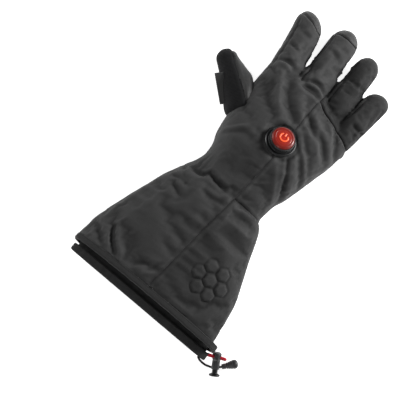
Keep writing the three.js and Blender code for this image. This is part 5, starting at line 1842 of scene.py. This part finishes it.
@dataclass
class PushButton:
    """The push button: flange, ribbed barrel, domed lens and its raised power symbol."""

    flange: float = 15.4
    flange_thickness: float = 1.8
    barrel: float = 12.4
    barrel_height: float = 6.4
    barrel_wall: float = 1.1
    clearance: float = 0.3
    travel: float = 0.8
    dome: float = 1.6
    symbol: float = 4.6
    stroke: float = 1.5
    symbol_height: float = 0.5
    ribs: int = 40
    rib_depth: float = 0.32
    gap: float = 38  # degrees from the symbol's top to the ends of its ring
    # The lens from its rim to its middle: share of its radius, and drop below its crown.
    lens_face: Tuple[Tuple[float, float], ...] = (
        (0.965, 0.75), (0.88, 0.22), (0.8, 0.05), (0.74, 0.02), (0.72, 0.2), (0.68, 0.2), (0.66, 0)
    )

    def build(self) -> None:
        """Makes the five pieces in the button's frame."""
        r, t = self.flange, self.flange_thickness
        plate = [(0, 0), (r - 0.3, 0), (r, 0.5), (r - 0.1, 1.0), (r - 1.0, t), (r - 1.9, t)]
        plate += [(r - 2.2, t - 0.35), (0, t - 0.35)]
        self.piece("button_plate", lathed(rounded(plate, 0.35), 96), PLASTIC, "button_flange")
        b, low, top = self.barrel, t + self.clearance - 0.3, t + self.barrel_height
        floor, bore = t + self.clearance + 1.4, b - self.barrel_wall
        wall = [(0, low), (b + 0.3, low), (b + 0.3, low + 0.9), (b, low + 1.2, 1)]
        wall += [(b, top - 1.3, 1), (b, top - 0.9), (b - 0.45, top), (bore, top)]
        wall += [(bore, floor), (0, floor)]
        shape = lathed(rounded(wall, 0.25), 240, self.ribs, self.rib_depth)
        self.piece("button_housing", shape, PLASTIC, "button_barrel")
        lens, base = bore - self.clearance, floor + self.travel + 0.3
        crown = top + self.dome
        face = [(0, base), (lens, base), (lens, top + 0.15)]
        face += [(lens * share, crown - drop) for share, drop in self.lens_face]
        shape = lathed(rounded(face + [(0, crown)], 0.2), 96)
        dome = self.piece("button_lens_dome", shape, LENS, "button_lens", CAP)
        # The lens's ridge attribute holds no ridge: it paints a glow into its colour, brighter in
        # the middle and darker towards the rim, with concentric rings.
        away = np.hypot(shape[0][:, 0], shape[0][:, 1]) / lens
        rings = 0.12 * np.cos(away * 44)
        shaded(dome, lerp(0.9, -1.0, smoothstep(away, 0.2, 0.95)) + rings)
        height = crown + 0.3 + self.symbol_height / 2 - 0.1
        radius = self.symbol - self.stroke / 2
        turn = np.radians(np.linspace(90 + self.gap, 90 - self.gap + 360, 60))
        arc = np.stack([radius * np.cos(turn), radius * np.sin(turn), np.full(60, height)], -1)
        self.stroke_piece("power_ring", arc, "button_symbol")
        reach = np.linspace(self.symbol * 0.2, self.symbol * 1.04, 12)
        bar = np.stack([np.zeros(12), reach, np.full(12, height)], -1)
        self.stroke_piece("power_bar", bar, "button_symbol_bar")

    def stroke_piece(self, name: str, path: Array, node: str) -> None:
        """A raised stroke of the symbol: a low rounded bar with round ends."""
        t = np.linspace(-1, 1, len(path))
        shrink = (1 - np.abs(t) ** 24) ** 0.5
        shrink = np.maximum(shrink, 0.05)
        shape = swept(path, shrink * self.stroke / 2, shrink * 0.42, 16)
        self.piece(name, shape, SYMBOL, node, CAP)

    def piece(self, name: str, shape: Shape, finish: Finish, node: str, body: str = BODY) -> Piece:
        """Places a shape of the button's frame on the glove."""
        points, faces = shape
        shape = SEAT.to_glove(points), outward(points, faces)
        return placed(name, shape, finish, node, body=body)


@dataclass
class Drawcord:
    """The red drawcord, its lock, the black tether and the pull tab beside the gaiter."""

    cord: float = 1.5
    tether: float = 1.1
    height: float = 9.2
    spread: float = 2.4
    lock_length: float = 16
    lock_radius: float = 4.2
    lock_swell: float = 1.3
    bore: float = 2.6
    travel: float = 3.0
    foot: float = 5.2
    tab_length: float = 15.5
    tab_radius: float = 4.4
    tab_heading: float = math.radians(48.6)
    # The drawcord's legs: shares of the cuff's width and length, and of the legs' spread.
    legs: Tuple[Tuple[float, float, float], ...] = (
        (0.469, -1.0935, 0.9), (0.4835, -1.088, 0.97), (0.5, -1.081, 1), (0.516, -1.0735, 1),
        (0.5345, -1.0632, 1), (0.5535, -1.0534, 1), (0.5686, -1.0466, 0.94), (0.5775, -1.043, 0.52),
    )
    # The tether from the binding to the tab: the same shares, and its height.
    run: Tuple[Tuple[float, float, float], ...] = (
        (0.4425, -1.1415, 7.8), (0.4625, -1.1495, 5.4), (0.4855, -1.1515, 3.0),
        (0.5105, -1.1495, 1.6), (0.5245, -1.1445, 1.45), (0.547, -1.1355, 1.3),
        (0.5685, -1.1195, 1.5),
    )

    def build(self) -> None:
        """Makes the cords and the pieces on them."""
        end = self.lock_length / 2
        r, bore = self.lock_radius, self.bore + 0.3
        sleeve = bore + 0.8
        turn = self.frame(math.radians(-59), math.radians(13))
        at = np.array([0.542 * FORM.cuff_width, -1.086 * FORM.cuff_length, self.height - 0.9])
        head = [(0, -end), (r * 0.7, -end), (r * 0.98, -end + 0.9), (r, -end + 1.6, 1)]
        head += [(r, -2.4, 1), (r * 0.98, -1.8), (sleeve * 0.9, 0), (0, 0)]
        points, faces = lathed(rounded(head, 0.4), 72, 9, 0.35)
        points[:, 1] *= self.lock_swell
        tube = [(0, -0.6), (sleeve, -0.6), (sleeve, end - 0.3), (sleeve - 0.3, end)]
        tube += [(bore, end), (bore, 0.6), (0, 0.6)]
        points, faces = stacked([(points, outward(points, faces)), self.turned(tube, 48)])
        shape = points @ turn.T + at, faces
        lock = placed("cord_lock_body", shape, TAB_PLASTIC, "cord_lock_barrel")
        foot, rim = self.foot, end + self.travel + 1.2 + 0.6
        stem = [(0, self.travel + 1), (self.bore, self.travel + 1), (self.bore, rim - 1.2)]
        stem += [(foot - 0.3, rim - 0.1), (foot, rim + 0.3), (foot, rim + 1.1)]
        stem += [(foot - 0.5, rim + 1.5), (0, rim + 1.5)]
        points, faces = self.turned(stem, 64)
        shape = points @ turn.T + at, faces
        placed("cord_lock_stem", shape, PLASTIC, "cord_lock_plunger", body=PLUNGER)
        tab = self.tab()
        self.red()
        self.black()

    def turned(self, profile: Rows, count: int) -> Shape:
        """A plain lathed shape with softened corners, facing outwards."""
        points, faces = lathed(rounded(profile, 0.3), count)
        return points, outward(points, faces)

    def frame(self, heading: float, tilt: float) -> Array:
        """3x3 turn that lays the lathe's axis along a heading in the plan, tilted down."""
        ch, sh, ct, st = math.cos(heading), math.sin(heading), math.cos(tilt), math.sin(tilt)
        turn_z = np.array([[ch, -sh, 0], [sh, ch, 0], [0, 0, 1]])
        turn_y = np.array([[ct, 0, st], [0, 1, 0], [-st, 0, ct]])
        lay = np.array([[0, 0, 1], [1, 0, 0], [0, 1, 0]])
        return turn_z @ turn_y @ lay

    def tab(self) -> Piece:
        """The pull tab: a club with grip rings and a round end."""
        r, length = self.tab_radius, self.tab_length
        club = [(0, 0), (r * 0.48, 0), (r * 0.56, length * 0.06)]
        for k in range(4):
            at = 0.2 + 0.13 * k
            wide = r * lerp(0.6, 0.93, k / 3)
            club += [(wide, length * at)]
            club += [(wide - 0.16, length * (at + step)) for step in (0.045, 0.075)]
        club += [(r * 0.97, length * 0.72), (r, length * 0.8), (r * 0.88, length * 0.91)]
        club += [(r * 0.5, length * 0.985), (0, length)]
        points, faces = self.turned(club, 48)
        turn = self.frame(self.tab_heading, 0.0)
        shape = points @ turn.T + self.tab_at, faces
        return placed("pull_tab_grip", shape, TAB_PLASTIC, "pull_tab")

    @property
    def tab_at(self) -> Array:
        """The tab's neck."""
        w, c = FORM.cuff_width, FORM.cuff_length
        return np.array([0.5905 * w, -1.0925 * c, self.tab_radius + 0.3])

    def red(self) -> None:
        """The drawcord: two legs, one over the other, through the lock to a bend."""
        w, c = FORM.cuff_width, FORM.cuff_length
        low = [(x * w, y * c, self.height - up * self.spread) for x, y, up in self.legs]
        high = [(x * w, y * c, self.height + up * self.spread) for x, y, up in self.legs]
        self.rope("drawcord_rope", low + high[::-1], self.cord, RED_CORD, "drawcord")

    def black(self) -> None:
        """The tether: from the gaiter's corner along the floor into the tab's neck."""
        knots = [(x * FORM.cuff_width, y * FORM.cuff_length, z) for x, y, z in self.run]
        heading = np.array([math.cos(self.tab_heading), math.sin(self.tab_heading), 0])
        knots += [tuple(self.tab_at + [-0.75, -0.85, -0.9])]
        knots += [tuple(self.tab_at + heading * 1.4 + [0, 0, -0.4])]
        knots += [tuple(self.tab_at + heading * 3.4)]
        self.rope("tether_rope", knots, self.tether, BLACK_CORD, "cord_tether")

    def rope(
        self,
        name: str,
        knots: Rows,
        radius: float,
        finish: Finish,
        node: str,
    ) -> None:
        """A braided round cord on a smooth curve through knots.

        Args:
            name: The piece's name.
            knots: The points that it runs through.
            radius: Half its thickness.
            finish: Its material.
            node: The CAD node that it stands for.
        """
        path = smooth_line(knots, 160)
        shape = swept(path, radius * 0.97, radius * 0.97, 24, 0.09)
        obj = placed(name, shape, finish, node)


@dataclass
class PalmZip:
    """The curved zip on the palm side with its red pull."""

    width: float = 3.2
    thickness: float = 1.2
    pitch: float = 1.25
    pull_length: float = 13
    pull_width: float = 4

    def build(self) -> None:
        """Makes the tape with its teeth, and the pull."""
        route = FORM.plan([(-0.054, 0.16), (-0.09, 0.42), (-0.13, 0.62), (-0.2, 0.72)])
        line = smooth_line(np.hstack([route, np.zeros((4, 1))]), 80)
        line[:, 2] = self.under(line) + 0.5 + self.thickness / 2
        tape = swept(line, self.width / 2, self.thickness * 0.28, 12)
        run = run_along(line)
        side, _ = along_path(line)
        teeth = []
        for k, mark in enumerate(np.arange(0.8, run[-1] - 0.8, self.pitch)):
            i = int(np.searchsorted(run, mark))
            sign = 1 if k % 2 else -1
            a = line[i] + side[i] * sign * 1.25 - [0, 0, 0.2]
            b = line[i] - side[i] * sign * 0.25 - [0, 0, 0.2]
            teeth.append(swept(np.linspace(a, b, 4), 0.36, 0.42, 6))
        placed("zip_tape", stacked([tape] + teeth), PLASTIC, "zip")
        start = np.array([*route[0], 0]) + [0, -1, 0]
        stop = np.array([*route[0], 0]) + [1.5, -self.pull_length - 1, 0]
        path = lerp(start, stop, np.linspace(0, 1, 30)[:, None])
        path[:, 2] = self.under(path) + 0.4 + self.thickness / 2
        t = np.linspace(-1, 1, 30)
        wide = self.pull_width / 2 * (1 - np.abs(t) ** 8) ** 0.4 * lerp(0.75, 1, (t + 1) / 2)
        shape = swept(path, np.maximum(wide, 0.2), 0.5, 16)
        placed("zip_pull_tag", (shape[0], outward(*shape)), RED_CORD, "zip_pull")

    def under(self, line: Array) -> Array:
        """Height of the palm side over points of a line."""
        s = FORM.section(line[:, 1])
        side = np.minimum(1, np.abs(line[:, 0] - s.middle) / s.half)
        power = FORM.under_power
        drop = (s.seam - s.floor + FORM.under_sink) * (1 - side**power) ** (1 / power)
        return np.maximum(s.floor, s.seam - drop)


@dataclass
class Stitching:
    """Topstitches beside the seams, laid on the finished skin."""

    length: float = 2.7
    pitch: float = 3.5
    radius: float = 0.27
    offset: float = 2.1
    # Places along a stitch as shares of it, and how far it stands off the cloth there.
    bow: Tuple[Tuple[float, float], ...] = (
        (0, -0.15), (0.15, 0.08), (0.4, 0.2), (0.6, 0.2), (0.85, 0.08), (1, -0.15)
    )

    def build(self, skin: Skin) -> None:
        """Casts every stitch onto the skin and makes them one piece."""
        tree = BVHTree.FromPolygons(skin.points.tolist(), skin.faces.tolist())
        lines = []
        for first, last, count, seam, past, side in (
            (17, 64, 60, KNUCKLE_SEAM, -self.offset, 1),
            (7, 40, 40, WRIST_LINE, -self.offset, 1),
            (-48, 58, 120, PALM_SEAM, -self.offset, -1),
            (-38, 38, 80, HEEL_LINE, self.offset, -1),
        ):
            x = np.linspace(first, last, count)
            lines.append((np.stack([x, seam_y(seam, x) + past], -1), side))
        made = []
        for line, side in lines:
            made += [self.stitch(tree, a, b, side) for a, b in self.marks(line, side)]
        placed("seam_stitches", stacked([m for m in made if m is not None]), THREAD)

    def marks(self, line: Array, side: int) -> List[Tuple[Array, Array]]:
        """Start and end of each stitch along a line of the plan, clear of the button."""
        run = run_along(line)
        starts = np.arange(0.5, run[-1] - self.length, self.pitch)
        a, b = (
            np.stack([np.interp(at, run, line[:, k]) for k in (0, 1)], -1)
            for at in (starts, starts + self.length)
        )
        clear = (np.hypot(a[:, 0] - SEAT.x, a[:, 1] - SEAT.y) > 19) | (side < 0)
        return list(zip(a[clear], b[clear]))

    def stitch(self, tree: BVHTree, a: Array, b: Array, side: int) -> Optional[Shape]:
        """One stitch: a short bowed thread whose ends sink into the cloth."""
        path = []
        for t, lift in self.bow:
            p = lerp(a, b, t)
            hit = tree.ray_cast(Vector((*p, 100.0 * side)), Vector((0, 0, -side)))
            if hit[0] is None:
                return None
            place = np.array(hit[0]) + np.array([0, 0, lift * side])
            path.append(np.maximum(place, [-np.inf, -np.inf, self.radius]))
        return swept(np.array(path), self.radius, self.radius * 0.8, 6)


class Stage:
    """The pale floor, the studio light and the camera at the photograph's angle."""

    floor_tone = 0.93
    floor_light = 0.85
    sky_light = 0.16
    lamp_distance = 1.1
    # Name, direction, size in metres and watts of each lamp.
    lamps = (
        ("key", (0.5, 0.6, 0.4), 0.3, 15.0),
        ("fill", (-0.8, 0.0, 0.4), 0.4, 5.5),
        ("cuff", (0.1, -0.8, 0.42), 0.5, 2.6),
    )
    target = np.array([-17.19, -32.34, 0.0])
    elevation = math.radians(78)
    roll = math.radians(38)
    distance = 1.2
    lens = 113.7

    def build(self) -> None:
        """Makes the floor, the world, the lights and the camera."""
        self.floor()
        self.world()
        self.camera()
        for lamp in self.lamps:
            self.light(*lamp)

    def floor(self) -> None:
        """A pale sheet under the glove."""
        marks = np.linspace(-3, 3, 3)
        grid = np.stack(np.meshgrid(marks, marks), -1).reshape(-1, 2)
        points = np.hstack([grid, np.full((9, 1), -0.0004)])
        floor = mesh_object("studio_floor", points, sheet_faces(3, 3), False)
        paint = bpy.data.materials.new("studio_floor")
        paint.use_nodes = True
        shader = paint.node_tree.nodes["Principled BSDF"]
        shader.inputs["Base Color"].default_value = (*[self.floor_tone] * 3, 1)
        shader.inputs["Roughness"].default_value = 0.9
        shader.inputs["Emission Color"].default_value = (1, 1, 1, 1)
        shader.inputs["Emission Strength"].default_value = self.floor_light
        floor.data.materials.append(paint)

    def world(self) -> None:
        """An even white surround."""
        world = bpy.data.worlds.new("studio")
        bpy.context.scene.world = world
        world.use_nodes = True
        sky = world.node_tree.nodes["Background"]
        sky.inputs["Color"].default_value = (1, 1, 1, 1)
        sky.inputs["Strength"].default_value = self.sky_light
        bpy.context.scene.view_settings.view_transform = "Standard"

    def light(self, name: str, way: Sequence[float], size: float, watts: float) -> None:
        """A square soft light that looks at the glove from a direction."""
        lamp = bpy.data.lights.new(name, "AREA")
        lamp.size, lamp.energy = size, watts
        made = bpy.data.objects.new(name, lamp)
        bpy.context.scene.collection.objects.link(made)
        made.location = Vector(way).normalized() * self.lamp_distance
        made.rotation_mode = "QUATERNION"
        made.rotation_quaternion = (-made.location).to_track_quat("-Z", "Y")

    def camera(self) -> None:
        """The photograph's camera: 78 degrees up from the cuff's side, rolled by 38."""
        camera = bpy.data.cameras.new("photo")
        camera.lens, camera.sensor_width = self.lens, 36
        camera.clip_start, camera.clip_end = 0.01, 20
        made = bpy.data.objects.new("photo", camera)
        bpy.context.scene.collection.objects.link(made)
        e, r = self.elevation, self.roll
        back = np.array([0, -math.cos(e), math.sin(e)])
        side, high = np.array([1, 0, 0]), np.array([0, math.sin(e), math.cos(e)])
        right = math.cos(r) * side + math.sin(r) * high
        up = -math.sin(r) * side + math.cos(r) * high
        at = to_part(self.target) + self.distance * back
        frame = np.vstack([np.stack([right, up, back, at], -1), [0, 0, 0, 1]])
        made.matrix_world = Matrix(frame.tolist())
        bpy.context.scene.camera = made


def main() -> None:
    """Builds the glove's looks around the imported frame."""
    logging.basicConfig(level=logging.INFO, format="%(message)s")
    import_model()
    Stage().build()
    Drawcord().build()
    skin = Skin()
    skin.build()
    skin.panels()
    Thumb().build()
    CuffEnd().build()
    PushButton().build()
    PalmZip().build()
    Stitching().build(skin)
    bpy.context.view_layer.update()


if __name__ == "__main__":
    main()
